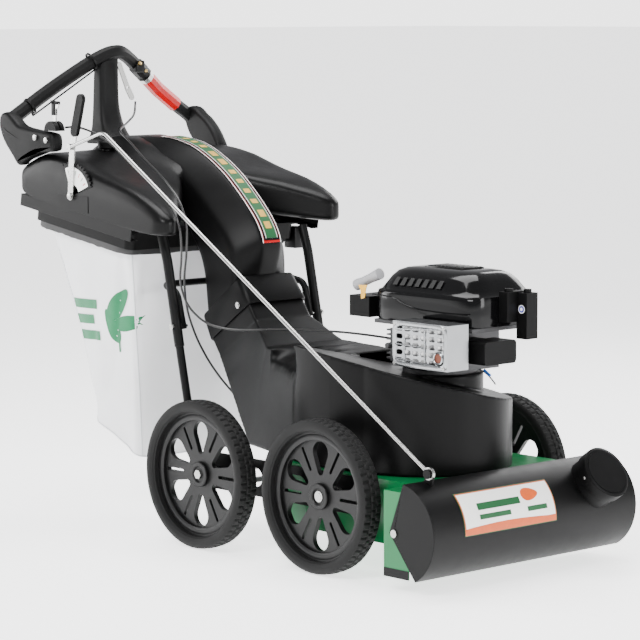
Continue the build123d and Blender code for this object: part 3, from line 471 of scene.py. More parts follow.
WHEEL_Z = 0.198
WHEEL_Y = 0.3405
TREAD_STEPS = 240


def tread_radius(y, i):
    """Crown radius of the tyre: staggered blocks in three lanes, with grooves between them."""
    crown = 0.1978 - 4.2 * y * y
    lane = 0 if y < -0.0075 else 2 if y > 0.0075 else 1
    groove = abs(abs(y) - 0.0075) < 0.0012
    gap = (i + 2 * lane) % 4 == 0 or (lane != 1 and abs(y) < 0.013 and (i + lane) % 8 == 3)
    return crown - (0.0034 if groove or gap else 0.0)


def tyre_rows(centre):
    lanes = [-0.0235 + 0.00235 * k for k in range(21)]
    wall = ((0.0268, 0.1935), (0.0300, 0.1885), (0.0314, 0.1815), (0.0306, 0.1745), (0.0272, 0.1690),
            (0.0235, 0.1672), (0.0215, 0.1652))
    rows = []
    for y, r in reversed(wall):
        rows.append([(-y, r)] * TREAD_STEPS)
    for y in lanes:
        rows.append([(y, tread_radius(y, i)) for i in range(TREAD_STEPS)])
    for y, r in wall:
        rows.append([(y, r)] * TREAD_STEPS)
    made = []
    for row in rows:
        made.append([centre + Vector((r * cos(2 * pi * i / TREAD_STEPS), y,
                                      r * sin(2 * pi * i / TREAD_STEPS)))
                     for i, (y, r) in enumerate(row)])
    return made + [made[0]]


wheels = (("front_right", 0.0, -1, "front_right_wheel"), ("front_left", 0.0, 1, "front_left_wheel"),
          ("rear_right", -0.468, -1, "rear_wheelset"), ("rear_left", -0.468, 1, "rear_wheelset"))
for name, x, s, body in wheels:
    centre = at(x, s * WHEEL_Y, WHEEL_Z)
    loft(name + "_tread", tyre_rows(centre), mats["tyre_rubber"], body, "tyre_rubber", caps=False,
         replaces=[name + "_tyre"], sharp=28)
    bm = bmesh.new()
    out = Vector((0, s, 0))
    face = at(x, s * 0.345, WHEEL_Z)
    # bead ring inside the tyre, hub boss and its recess
    turned(bm, face, out,
           ((-0.012, 0.1435), (0.0035, 0.1435), (0.0062, 0.1470), (0.0068, 0.1530), (0.0050, 0.1600),
                           (0.0008, 0.1655), (-0.012, 0.1655), (-0.012, 0.1435)), 96)
    turned(bm, face, out,
           ((-0.004, 0.0335), (0.0035, 0.0335), (0.0052, 0.0315), (0.0052, 0.0230), (0.0030, 0.0205),
                           (-0.0005, 0.0200), (-0.0005, 0.0115), (-0.004, 0.0115), (-0.004, 0.0335)), 48)
    from_bmesh(name + "_rim_trim", bm, mats["wheel_plastic"], body, "wheel_plastic", sharp=40)

# ---------------------------------------------------------------- moulded housing, chute, hopper and handle

scroll = moulded("scroll_shell", ["scroll_housing"], 0.0036, 6, housing_black, "chassis")
side_skin = scroll.vertex_groups.new(name="side_skin")
for v in scroll.data.vertices:
    x, y, z = v.co.x - FRONT_AXLE, v.co.y, v.co.z
    roof = 0.471 - 0.12 * (x - 0.085) - 0.22 * y
    if -0.36 < x < -0.05 and 0.262 < z < roof - 0.012:
        side_skin.add([v.index], 1.0, "REPLACE")
mod = scroll.modifiers.new("smooth", "SMOOTH")
mod.factor, mod.iterations, mod.vertex_group = 0.5, 600, "side_skin"
baked(scroll)

# chute: crowned roof with sloping flanks over flat sides; each row is ridge X, Z, inner X, Z and crown depth
CHUTE = (
    (-0.592, 0.655, -0.732, 0.560, 0.022), (-0.585, 0.700, -0.738, 0.615, 0.030),
         (-0.570, 0.745, -0.746, 0.680, 0.045),
    (-0.565, 0.793, -0.757, 0.722, 0.060), (-0.590, 0.842, -0.772, 0.755, 0.066),
         (-0.633, 0.889, -0.795, 0.788, 0.066),
    (-0.680, 0.932, -0.822, 0.820, 0.064), (-0.729, 0.971, -0.850, 0.848, 0.060),
         (-0.790, 1.008, -0.880, 0.866, 0.055),
    (-0.853, 1.037, -0.912, 0.878, 0.050), (-0.912, 1.053, -0.945, 0.884, 0.046),
         (-0.971, 1.061, -0.975, 0.886, 0.043),
    (-1.050, 1.063, -1.050, 0.900, 0.040), (-1.130, 1.058, -1.125, 0.910, 0.036),
         (-1.200, 1.044, -1.180, 0.930, 0.030),
    (-1.238, 1.015, -1.215, 0.950, 0.020))
CHUTE_HALF = 0.0955


def smooth_path(rows, steps):
    """Catmull-Rom points through rows of numbers."""
    made = []
    for k in range(len(rows) - 1):
        a, b, c, d = rows[max(0, k - 1)], rows[k], rows[k + 1], rows[min(len(rows) - 1, k + 2)]
        for j in range(steps):
            t = j / steps
            made.append([0.5 * (2 * q + (r - p) * t + (2 * p - 5 * q + 4 * r - s) * t * t
                                + (3 * q - p - 3 * r + s) * t ** 3)
                         for p, q, r, s in zip(a, b, c, d)])
    made.append(list(rows[-1]))
    return made


def chute_half_section(depth, crown):
    """Half of the chute's section, as depth below the ridge and distance from the middle."""
    h = CHUTE_HALF
    return ((0.0, 0.0), (0.0, 0.020), (0.0006, 0.031), (0.004, 0.037), (crown * 0.35, 0.055),
            (crown * 0.72, 0.076),
            (crown * 0.92, 0.087), (crown + 0.004, 0.0925), (crown + 0.013, h), (crown + 0.03, h),
            (depth * 0.7, h),
            (depth - 0.018, h), (depth - 0.006, h - 0.005), (depth, h - 0.018), (depth, 0.04), (depth, 0.0))


def chute_row(x0, z0, x1, z1, crown):
    ridge, inner = at(x0, 0, z0), at(x1, 0, z1)
    depth = (inner - ridge).length
    down = (inner - ridge) / depth
    half = chute_half_section(depth, crown)
    loop = [ridge + down * d + Vector((0, y, 0)) for d, y in half]
    loop += [ridge + down * d - Vector((0, y, 0)) for d, y in half[-2:0:-1]]
    return loop


loft("chute_shell", [chute_row(*r) for r in smooth_path(CHUTE, 4)], housing_black, "chassis",
     "black_plastic",
     replaces=["upper_chute"], subdivide=1, sharp=50)


def rounded_rect(a, b, half, radius, count=6):
    """Corners of a rounded rectangle between two points of the side view, half wide."""
    a, b = Vector(a), Vector(b)
    run = (b - a).normalized()
    length = (b - a).length
    points = []
    for cu, cv, start in ((length - radius, half - radius, 0), (radius, half - radius, 90),
                          (radius, -half + radius, 180),
                          (length - radius, -half + radius, 270)):
        for i in range(count + 1):
            t = radians(start + 90 * i / count)
            points.append(a + run * (cu + radius * cos(t)) + Vector((0, cv + radius * sin(t), 0)))
    return points


sleeve_rows = []
for t, grow in ((0.0, -0.002), (0.0, 0.0020), (0.04, 0.0034), (0.5, 0.0030), (0.93, 0.0022),
                (0.985, 0.0008), (1.0, -0.004)):
    low_back, low_front = at(-0.7045, 0, 0.5130), at(-0.5385, 0, 0.6300)
    top_back, top_front = at(-0.7450, 0, 0.5770), at(-0.5850, 0, 0.6990)
    back, front_ = low_back.lerp(top_back, t), low_front.lerp(top_front, t)
    way = (front_ - back).normalized()
    half = 0.1035 + (0.0985 - 0.1035) * t + grow
    sleeve_rows.append(rounded_rect(back - way * grow, front_ + way * grow, half, 0.020))
loft("chute_sleeve", sleeve_rows, housing_black, "chassis", "black_plastic", caps=False, sharp=50)
bm = bmesh.new()
for s in (-1, 1):
    turned(bm, at(-0.584, s * 0.1030, 0.621), (0, s, 0),
           ((-0.001, 0.0095), (0.0020, 0.0095), (0.0036, 0.0075), (0.0036, 0.003), (0.0020, 0.0)), 20)
turned(bm, at(-0.563, 0.040, 0.661), (0.84, 0, 0.54),
       ((-0.004, 0.0095), (0.0020, 0.0095), (0.0036, 0.0075), (0.0036, 0.003), (0.0020, 0.0)), 20)
from_bmesh("sleeve_screws", bm, mats["zinc"], "chassis", "zinc")

# hopper: rows from the right to the left, each a loop in the side view
RISE = ((-1.262, 0.080), (-1.21, 0.106), (-1.16, 0.130), (-1.125, 0.137), (-1.066, 0.139), (-1.0, 0.136),
        (-0.93, 0.125),
        (-0.88, 0.118), (-0.80, 0.112), (-0.76, 0.108), (-0.70, 0.095), (-0.65, 0.080), (-0.60, 0.058))
# distance from the middle, back, front and share of the height
PLAN = ((0.3460, -1.200, -0.690, 0.10), (0.3462, -1.222, -0.664, 0.40), (0.3450, -1.233, -0.645, 0.66),
        (0.3400, -1.241, -0.628, 0.84), (0.3320, -1.245, -0.618, 0.93), (0.3200, -1.248, -0.612, 0.98),
        (0.3020, -1.250, -0.612, 1.0), (0.2800, -1.252, -0.628, 1.0), (0.2500, -1.254, -0.660, 1.0),
        (0.2000, -1.256, -0.712, 1.01), (0.1500, -1.257, -0.765, 1.02), (0.1200, -1.258, -0.800, 1.03),
        (0.1000, -1.258, -0.825, 1.04), (0.0600, -1.258, -0.830, 1.05), (0.0, -1.258, -0.830, 1.05))


def rise_at(x):
    for (x0, r0), (x1, r1) in zip(RISE, RISE[1:]):
        if x <= x1:
            return r0 + (r1 - r0) * max(0.0, (x - x0) / (x1 - x0))
    return RISE[-1][1]


plan = smooth_path(PLAN, 3)
hopper_rows = []
for y, back, front_, share in [(-y, b_, f_, s_) for y, b_, f_, s_ in plan] + [(y, b_, f_ - 0.034, s_) for y,
                                                                              b_, f_, s_ in plan[-2::-1]]:
    row = []
    fillet = 0.030 * max(0.0, 1 - max(0.0, abs(y) - 0.085) / 0.075) ** 2
    for i in range(72):
        t = 2 * pi * i / 72
        c, s = cos(t), sin(t)
        k = (abs(c) ** 6 + abs(s) ** 6) ** (-1 / 6)
        x = (back + front_) / 2 + (front_ - back) / 2 * k * c
        lift = (k * s + 1) / 2
        base = 0.798 + 0.151 * (-0.758 - x) + 0.034
        row.append(at(x, y, base + lift * share * (rise_at(x) + fillet)))
    hopper_rows.append(row)
loft("hopper_shell", hopper_rows, satin_black, "chassis", "black_plastic", replaces=["hopper"], sharp=60)

# handle: bar, shoulders and post
arch = [at(-1.230, -0.341, 1.060), at(-1.275, -0.342, 1.075), at(-1.304, -0.341, 1.092),
        at(-1.309, -0.325, 1.110),
        at(-1.308, -0.284, 1.134), at(-1.300, -0.200, 1.188), at(-1.262, -0.085, 1.264),
        at(-1.243, -0.032, 1.293),
        at(-1.236, 0.0, 1.3000)]
arch += [Vector((p.x, -p.y, p.z)) for p in reversed(arch[:-1])]
wire("handle_arch", arch, 0.0205, mats["handle_foam"], "chassis", replaces=["handle_bar"])
SHOULDERS = (
    ("right", -1,
     ((-1.336, 1.118), (-1.338, 1.092), (-1.318, 1.050), (-1.276, 1.008), (-1.240, 0.985), (-1.212, 0.998),
                   (-1.150, 1.022), (-1.085, 1.028), (-1.072, 1.038), (-1.072, 1.066), (-1.086, 1.080),
      (-1.150, 1.086),
                   (-1.225, 1.096), (-1.262, 1.112), (-1.300, 1.132), (-1.326, 1.130))),
    ("left", 1,
     ((-1.336, 1.118), (-1.338, 1.092), (-1.318, 1.050), (-1.276, 1.008), (-1.240, 0.985), (-1.200, 0.984),
                 (-1.168, 0.995), (-1.160, 1.015), (-1.172, 1.040), (-1.195, 1.070), (-1.225, 1.096),
      (-1.262, 1.112), (-1.300, 1.132), (-1.326, 1.130))))
for name, s, outline in SHOULDERS:
    bm = bmesh.new()
    closed = smooth_path(tuple(outline) + (outline[0],), 3)[:-1]
    closed = [(x + 0.018 * min(1.0, max(0.0, (-1.22 - x) / 0.06)), z) for x, z in closed]
    middle = sum((Vector(p) for p in closed), Vector((0, 0))) / len(closed)
    rows = []
    for off, inset in ((-0.0205, 0.012), (-0.0195, 0.006), (-0.0150, 0.0015), (-0.008, 0.0), (0.008, 0.0),
                       (0.0150, 0.0015),
                       (0.0195, 0.006), (0.0205, 0.012)):
        row = []
        for k, p in enumerate(closed):
            p = Vector(p)
            tangent = Vector(closed[(k + 1) % len(closed)]) - Vector(closed[k - 1])
            inward = Vector((-tangent.y, tangent.x)).normalized()
            if inward.dot(middle - p) < 0:
                inward = -inward
            p = p + inward * inset
            row.append(at(p.x, s * 0.3405 + off, p.y))
        rows.append(row)
    sew(bm, rows, closed=True, caps=True)
    from_bmesh("shoulder_" + name, bm, mats["handle_foam"], "chassis", "handle_foam",
               replaces=["handle_shoulders"] if s < 0 else (), sharp=60)
POST = ((1.036, -1.222, 0.056, 0.056), (1.046, -1.224, 0.055, 0.055), (1.058, -1.227, 0.046, 0.048),
        (1.078, -1.232, 0.038, 0.042),
        (1.105, -1.238, 0.031, 0.038), (1.150, -1.243, 0.026, 0.034), (1.230, -1.242, 0.023, 0.033),
        (1.286, -1.239, 0.021, 0.032))
post_rows = [[at(x - 0.016 + u, -0.022 + v, z) for u, v in squircle(32, a, b, 5.0)] for z, x, a,
             b in smooth_path(POST, 4)]
loft("handle_post_skin", post_rows, mats["handle_foam"], "chassis", "handle_foam", replaces=["handle_post"],
     sharp=50)

# ---------------------------------------------------------------- bag

SLOPE = radians(8.6)
RAIL = (-0.940, 0.8255)
rail_x = Vector((cos(SLOPE), 0, -sin(SLOPE)))
rail_up = Vector((sin(SLOPE), 0, cos(SLOPE)))


def on_rail(x, y, lift):
    """Point in the bag rails' sloping plane."""
    return at(RAIL[0], 0, RAIL[1]) + rail_x * x + rail_up * lift + Vector((0, y, 0))


BAG_AROUND = 160
BAG_ROWS = 34
BAG_BACK = at(-1.058, 0, 0.272)
BAG_FRONT = at(-0.832, 0, 0.180)


def bag_row(t, shrink=0.0):
    """Points around the bag, t from 0 at the collar to 1 at the floor."""
    low_mid = (BAG_BACK + BAG_FRONT) / 2
    low_x = (BAG_FRONT - BAG_BACK) / 2
    points = []
    for u, v in squircle(BAG_AROUND, 1.0, 1.0, 9.0):
        top = on_rail(-0.084 + u * (0.203 - shrink), v * (0.293 - shrink), -0.012)
        foot = low_mid + low_x * (u * (1 - shrink / 0.122)) + Vector((0, v * (0.250 - shrink), 0))
        points.append(top.lerp(foot, t))
    return points


def build_bag():
    bm = bmesh.new()
    rows = [bag_row(k / BAG_ROWS, 0.004) for k in range(BAG_ROWS + 1)]
    low_mid = (BAG_BACK + BAG_FRONT) / 2
    for k in range(1, 13):
        rows.append([p.lerp(low_mid, k / 12.6) for p in rows[BAG_ROWS]])
    made = sew(bm, rows, closed=True)
    bm.faces.new(made[-1])
    bmesh.ops.triangulate(bm, faces=[f for f in bm.faces if len(f.verts) > 4])
    bmesh.ops.recalc_face_normals(bm, faces=bm.faces)
    mesh = bpy.data.meshes.new("bag_body")
    bm.to_mesh(mesh)
    bm.free()
    return collect(bpy.data.objects.new("bag_body", mesh))


bag = build_bag()
start = [v.co.copy() for v in bag.data.vertices]
pins = bag.vertex_groups.new(name="pins")
pins.add(list(range(BAG_AROUND * 2)), 1.0, "REPLACE")
cloth = bag.modifiers.new("cloth", "CLOTH")
cloth.settings.quality = 6
cloth.settings.mass = 0.35
cloth.settings.tension_stiffness = cloth.settings.compression_stiffness = 18
cloth.settings.shear_stiffness = 8
cloth.settings.bending_stiffness = 2.5
cloth.settings.vertex_group_mass = "pins"
cloth.settings.use_pressure = True
cloth.settings.uniform_pressure_force = 1.2
cloth.settings.effector_weights.gravity = 0.6
cloth.collision_settings.use_collision = False
cloth.point_cache.frame_start, cloth.point_cache.frame_end = 1, 22
for step in range(1, 23):
    scene.frame_set(step)
baked(bag)
scene.frame_set(1)
CAP = 0.016
for v, p in zip(bag.data.vertices, start):
    move = v.co - p
    if move.length > CAP:
        v.co = p + move * (CAP / move.length)
for v in bag.data.vertices:
    fold = noise.noise(v.co * 7.0) * 0.0035 + noise.noise(v.co * 19.0) * 0.0012
    hang = max(0.0, 1 - abs(v.co.z - 0.76) / 0.08)
    centre = at(-0.96, 0, v.co.z)
    v.co += (v.co - centre).normalized() * (fold + 0.0025 * hang * sin(v.co.y * 70 + v.co.x * 55))
bag.data.materials.append(bag_cloth)
finish_piece(bag, "bag_body", ["bag"], 60)
bag_ring = [[bag.data.vertices[k * BAG_AROUND + i].co.copy() for i in range(BAG_AROUND)]
            for k in range(BAG_ROWS + 1)]
corners = [BAG_AROUND // 8 * k for k in (1, 3, 5, 7)]
for number, i in enumerate(corners):
    line = [bag_ring[k][i] + (bag_ring[k][i] - at(-0.96, 0, bag_ring[k][i].z)).normalized() * 0.0012
            for k in range(0, BAG_ROWS + 1, 2)]
    wire(f"bag_seam_{number}", line, 0.0021, bag_tape, "bag_body")
for number, k in enumerate((BAG_ROWS,)):
    line = bag_ring[k] + bag_ring[k][:2]
    wire(f"bag_hem_{number}", line[::2], 0.0024, bag_tape, "bag_body")
bag_tree = BVHTree.FromPolygons([v.co for v in bag.data.vertices], [p.vertices for p in bag.data.polygons])


def printed(name, shapes, material):
    """Flat outlines in the bag's side view, laid on its right-hand cloth.

    Points are X and Z from the axle.
    """
    bm = bmesh.new()
    for outline in shapes:
        verts = [bm.verts.new(at(x, -0.45, z)) for x, z in outline]
        bm.faces.new(verts)
    bmesh.ops.triangulate(bm, faces=bm.faces)
    for _ in range(5):
        bmesh.ops.subdivide_edges(bm, edges=[e for e in bm.edges if e.calc_length() > 0.008], cuts=1)
        bmesh.ops.triangulate(bm, faces=bm.faces)
    missed = []
    for v in bm.verts:
        hit = bag_tree.ray_cast(v.co, Vector((0, 1, 0)))[0]
        if hit and hit.y < -0.2:
            v.co = hit + Vector((0, -0.0016, 0))
        else:
            missed.append(v)
    bmesh.ops.delete(bm, geom=missed, context="VERTS")
    mesh_piece = from_bmesh(name, bm, material, "bag_body", "bag_fabric", sharp=60)


def leaf(x, z, length, width, turn):
    points = []
    for k in range(24):
        t = k / 24 * 2 * pi
        u = cos(t) * length / 2
        w = sin(t) * width / 2 * (1 - 0.25 * cos(t))
        points.append((x + u * cos(turn) - w * sin(turn), z + u * sin(turn) + w * cos(turn)))
    return points


def bar(x0, x1, z, height, slant=0.0):
    return [(x0, z), (x1, z + slant), (x1, z + slant + height), (x0, z + height)]


printed("bag_print_bars",
        [bar(-1.128, -0.985, 0.586, 0.026, 0.006), bar(-1.116, -1.010, 0.542, 0.026, 0.006),
                           bar(-1.102, -0.980, 0.498, 0.026, 0.006)], print_green)
printed("bag_print_leaves", [leaf(-0.905, 0.610, 0.110, 0.046, 0.9), leaf(-0.872, 0.560, 0.108, 0.042, 0.2),
                             leaf(-0.932, 0.548, 0.100, 0.038, 1.9), bar(-0.918, -0.911, 0.476, 0.090)],
        print_green)

# black binding that hangs below the collar
rows = []
for lift, grow in ((-0.030, 0.0035), (-0.040, 0.0045), (-0.050, 0.0050), (-0.0555, 0.0035),
                   (-0.0550, 0.0010), (-0.030, 0.0)):
    row = []
    for i, (u, v) in enumerate(squircle(BAG_AROUND, 1.0, 1.0, 12.0)):
        ripple = 0.003 * noise.noise(Vector((u * 9, v * 9, 3.1))) * (1 if lift < -0.035 else 0.3)
        row.append(on_rail(-0.083 + u * (0.208 + grow), v * (0.297 + grow), lift + ripple))
    rows.append(row)
loft("collar_binding", rows, vinyl, "bag_body", "black_plastic", caps=False, sharp=50)

# bolts: as the frame's, with softened edges
bm = cad_bmesh(["frame_bolts"])
from_bmesh("frame_screws", bm, mats["zinc"], "chassis", "zinc", replaces=["frame_bolts"], bevel=0.0007)

# ---------------------------------------------------------------- engine

cowl_rings = (
    (0.628, 0.1135, 0.1840, 0.1225, 7.0), (0.640, 0.1135, 0.1865, 0.1245, 7.0),
              (0.694, 0.1135, 0.1865, 0.1245, 7.0),
    (0.703, 0.1135, 0.1850, 0.1225, 6.5), (0.706, 0.1135, 0.1790, 0.1170, 6.0),
              (0.718, 0.1125, 0.1720, 0.1100, 5.5),
    (0.738, 0.1115, 0.1600, 0.0980, 5.0), (0.752, 0.1110, 0.1470, 0.0860, 4.6),
              (0.760, 0.1110, 0.1280, 0.0700, 4.2),
    (0.763, 0.1110, 0.1000, 0.0500, 4.0))
rows = [[at(cx + u, 0.025 + v, z) for u, v in squircle(72, a, b, p)] for z, cx, a, b, p in cowl_rings]
loft("engine_cowl", rows, gloss_black, "chassis", "black_plastic",
     replaces=["engine_shroud", "shroud_cover"],
     sharp=50)
bm = bmesh.new()
for i in range(9):
    x = 0.052 + 0.0145 * i
    block(bm, at(x, -0.012, 0.760), at(x + 0.006, 0.062, 0.7675))
block(bm, at(0.045, -0.016, 0.758), at(0.178, -0.012, 0.7655))
block(bm, at(0.045, 0.062, 0.758), at(0.178, 0.066, 0.7655))
from_bmesh("cowl_ribs", bm, gloss_black, "chassis", "black_plastic", bevel=0.0012)
# slots along the shoulder of the cowl, drawn as flat dark sheets: painted shade standing in for the inside
# of the vent openings
bm = bmesh.new()
for i in range(7):
    x = 0.010 + 0.026 * i
    low_, high_ = Vector(at(x, -0.0860, 0.7165)), Vector(at(x, -0.0745, 0.7362))
    quad = [low_ + Vector((-0.009, 0, 0)), low_ + Vector((0.007, 0, 0)),
            high_ + Vector((0.010, 0, 0)), high_ + Vector((-0.004, 0, 0))]
    bm.faces.new([bm.verts.new(p + Vector((0, -0.0022, 0.0022))) for p in quad])
from_bmesh("cowl_slot_shade", bm, painted_slot_shade, "chassis", "black_plastic")
# panel line and step on the cowl's right face
wire("cowl_line",
     [at(-0.060, -0.1012, 0.690), at(0.02, -0.1012, 0.690), at(0.060, -0.1012, 0.668),
      at(0.150, -0.1012, 0.660),
                   at(0.285, -0.1012, 0.662)], 0.0016, gloss_black, "chassis")

# muffler guard: frame rim, pressed cells and the outlet ring
GUARD = (0.107, 0.300, 0.528, 0.643)
bm = bmesh.new()
y0 = -0.1905
ring_rows = []
for grow, depth in ((-0.0065, 0.0005), (-0.0040, -0.0022), (0.0, -0.0032), (0.0040, -0.0022),
                    (0.0060, 0.003), (0.0030, 0.012)):
    ring_rows.append([at((GUARD[0] + GUARD[1]) / 2 + u, y0 + depth, (GUARD[2] + GUARD[3]) / 2 + v)
                      for u, v in squircle(64, 0.0905 + grow, 0.0515 + grow, 9.0)])
sew(bm, ring_rows, closed=True)
for a, b in (((0.118, 0.622), (0.286, 0.632)), ((0.118, 0.548), (0.286, 0.538)),
             ((0.150, 0.60), (0.150, 0.545)),
             ((0.222, 0.625), (0.222, 0.545)), ((0.118, 0.585), (0.222, 0.582))):
    pa, pb = at(a[0], y0 - 0.0008, a[1]), at(b[0], y0 - 0.0008, b[1])
    turned(bm, pa, pb - pa, ((0.0, 0.0022), ((pb - pa).length, 0.0022)), 8)
turned(bm, at(0.270, y0, 0.560), (0, -1, 0),
       ((-0.004, 0.0170), (0.0030, 0.0170), (0.0046, 0.0145), (0.0030, 0.0120),
                                               (-0.004, 0.0120), (-0.004, 0.0170)), 28)
from_bmesh("guard_rim", bm, mats["perforated_steel"], "chassis", "perforated_steel", sharp=40)
bm = bmesh.new()
turned(bm, at(0.270, y0 + 0.001, 0.560), (0, -1, 0), ((0.0, 0.0122), (0.0012, 0.0122)), 24)
from_bmesh("outlet_bore", bm, rust_brown, "chassis", "perforated_steel")
for number, (x, z) in enumerate(((0.1165, 0.536), (0.290, 0.6345), (0.1165, 0.6345), (0.290, 0.536))):
    bm = bmesh.new()
    turned(bm, at(x, y0 - 0.002, z), (0, -1, 0), ((-0.004, 0.0045), (0.0025, 0.0045), (0.0025, 0.0)), 6)
    from_bmesh(f"guard_screw_{number}", bm, mats["zinc"], "chassis", "zinc")

# air cleaner badge: a plain ringed disc
for name, radius, lift, material in (("badge_rim", 0.0105, 0.0006, white_label),
                                     ("badge_disc", 0.0088, 0.0010, blue_label),
                                     ("badge_dot", 0.0042, 0.0014, white_label)):
    bm = bmesh.new()
    turned(bm, at(0.3435, 0.0300, 0.672), (0, -1, 0), ((-0.0005, radius), (lift, radius), (lift, 0.0)), 28)
    from_bmesh(name, bm, material, "chassis", "black_plastic")

# tag on the starter rope
tag = []
for k, (x,
        z) in enumerate(((-0.113, 0.7100), (-0.078, 0.7120), (-0.082, 0.7020), (-0.089, 0.6780),
                         (-0.104, 0.6740), (-0.107, 0.6980))):
    tag.append((x, z))
bm = bmesh.new()
front_face = [bm.verts.new(at(x, -0.1015 - 0.002 * sin(k), z)) for k, (x, z) in enumerate(tag)]
back_face = [bm.verts.new(at(x, -0.1000 - 0.002 * sin(k), z)) for k, (x, z) in enumerate(tag)]
bm.faces.new(front_face)
bm.faces.new(back_face)
for k in range(len(tag)):
    j = (k + 1) % len(tag)
    bm.faces.new((front_face[k], front_face[j], back_face[j], back_face[k]))
from_bmesh("starter_tag", bm, yellow_tag, "chassis", "black_plastic", sharp=30)
# starter grip: waisted tube with a flared open end
start, end = at(-0.150, -0.072, 0.705), at(-0.062, -0.072, 0.741)
grip_rows = []
for t, r in ((0.085, 0.0085), (0.0, 0.0095), (0.0, 0.0145), (0.05, 0.0150), (0.3, 0.0125), (0.6, 0.0125),
             (0.9, 0.0145), (1.0, 0.0148), (1.0, 0.006)):
    grip_rows.append(ring(start.lerp(end, t), end - start, r, 28))
loft("starter_grip", grip_rows, mats["grey_plastic"], "recoil_body", "grey_plastic",
     replaces=["recoil_grip"], sharp=40)
wire("cutoff_wire",
     [at(0.120, -0.02, 0.520), at(0.160, 0.03, 0.512), at(0.205, 0.05, 0.500), at(0.235, 0.05, 0.470)],
     0.0019, mats["cable_black"], "chassis")
wire("blue_connector", [at(0.196, 0.048, 0.503), at(0.216, 0.05, 0.490)], 0.0042, blue_wire, "chassis")

# ---------------------------------------------------------------- nozzle label and port cap


def on_hood(y, angle, lift):
    """Point on the nozzle's rounded front, by its angle about the drum's axis."""
    r = 0.127 + lift
    return at(0.307 + r * cos(radians(angle)), y, 0.147 + r * sin(radians(angle)))


def hood_patch(name, outline, lift, material):
    """Flat outline of Y and angle, bent round the hood."""
    bm = bmesh.new()
    verts = [bm.verts.new(Vector((y, angle * 0.00222, 0))) for y, angle in outline]
    bm.faces.new(verts)
    bmesh.ops.triangulate(bm, faces=bm.faces)
    for _ in range(6):
        bmesh.ops.subdivide_edges(bm, edges=[e for e in bm.edges if e.calc_length() > 0.009], cuts=1)
        bmesh.ops.triangulate(bm, faces=bm.faces)
    for v in bm.verts:
        v.co = on_hood(v.co.x, v.co.y / 0.00222, lift)
    bmesh.ops.triangulate(bm, faces=bm.faces)
    return from_bmesh(name, bm, material, "nozzle", "black_steel", sharp=60)


def patch_box(y0, y1, a0, a1):
    return [(y0, a0), (y1, a0), (y1, a1), (y0, a1)]


hood_patch("label_edge", patch_box(-0.262, 0.066, -1.5, 49.0), 0.0008, green_label)
hood_patch("label_line", patch_box(-0.260, 0.064, -0.6, 48.0), 0.0012, orange_label)
hood_patch("label_white", patch_box(-0.257, 0.061, 6.5, 46.6), 0.0016, white_label)
wave = [(-0.257, 3.0)] + [(-0.257 + 0.318 * k / 16,
                           6.5 + 2.6 * sin(k / 16 * pi * 1.1)) for k in range(17)] + [(0.061, 3.0)]
hood_patch("label_wave", wave, 0.0020, orange_label)
for number, (y0, y1, a0,
             a1) in enumerate(((-0.205, -0.055, 25.0, 33.0), (-0.205, -0.095, 14.5, 20.0),
                               (-0.035, 0.035, 14.5, 20.0))):
    hood_patch(f"label_bar_{number}", patch_box(y0, y1, a0, a1), 0.0020, green_label)
leaf_shape = [(-0.015 + 0.030 * cos(2 * pi * k / 20),
               34.0 + 7.5 * sin(2 * pi * k / 20) * (1 - 0.3 * cos(2 * pi * k / 20)))
              for k in range(20)]
hood_patch("label_leaf", leaf_shape, 0.0020, orange_label)

port_way = Vector((cos(radians(35)), 0, sin(radians(35))))
port_foot = at(0.307, 0.230, 0.147)
bm = bmesh.new()
turned(bm, port_foot, port_way,
       ((0.1505, 0.0685), (0.1505, 0.0702), (0.1530, 0.0708), (0.1760, 0.0708), (0.1790, 0.0700),
                                 (0.1812, 0.0675), (0.1815, 0.0610), (0.1800, 0.0598), (0.1800, 0.0575),
        (0.1818, 0.0560),
                                 (0.1822, 0.0)), 72)
from_bmesh("cap_skin", bm, mats["black_plastic"], "port_cap_body", "black_plastic", sharp=40)
bm = bmesh.new()
side_way = port_way.cross(Vector((0, 1, 0))).normalized()
turned(bm, port_foot + port_way * 0.165 - side_way * 0.0 + Vector((0, -0.0705, 0)), (0, -1, 0),
       ((-0.002, 0.0045), (0.0022, 0.0045), (0.0030, 0.003), (0.0030, 0.0)), 16)
from_bmesh("cap_screw", bm, mats["zinc"], "port_cap_body", "zinc")

# ---------------------------------------------------------------- chute stripe, controls and small fittings

ridge_line = [r[:2] for r in smooth_path(CHUTE, 8) if r[0] > -1.0 and r[1] > 0.786]


def ribbon(name, near, far, lift, material, start=0.0, stop=1.0, line=ridge_line):
    """Strip laid along the chute's ridge, between two distances from the middle."""
    picked = line[int(start * (len(line) - 1)):int(stop * (len(line) - 1)) + 1]
    rows = []
    for k, (x, z) in enumerate(picked):
        a, b = picked[max(0, k - 1)], picked[min(len(picked) - 1, k + 1)]
        way = Vector((b[0] - a[0], b[1] - a[1])).normalized()
        out = Vector((way.y, -way.x))
        if out.y < 0 and out.x < 0:
            out = -out
        rows.append([at(x + out.x * lift, y, z + out.y * lift) for y in (near, (near * 2 + far) / 3,
                                                                         (near + far * 2) / 3, far)])
    bm = bmesh.new()
    sew(bm, rows)
    return from_bmesh(name, bm, material, "chassis", "black_plastic", sharp=60)


ribbon("stripe_white", -0.0330, 0.0330, 0.0012, white_label)
ribbon("stripe_red", -0.0300, 0.0300, 0.0016, red_gloss, 0.012, 0.988)
ribbon("stripe_black", -0.0285, 0.0285, 0.0020, satin_black, 0.016, 0.984)
ribbon("stripe_inner", -0.0215, 0.0215, 0.0024, white_label, 0.03, 0.97)
ribbon("stripe_green", -0.0195, 0.0195, 0.0028, green_label, 0.036, 0.964)
for k in range(11):
    place = 0.10 + 0.076 * k
    ribbon(f"stripe_mark_{k}", -0.011, 0.011, 0.0033, gold_label, place, place + 0.034)

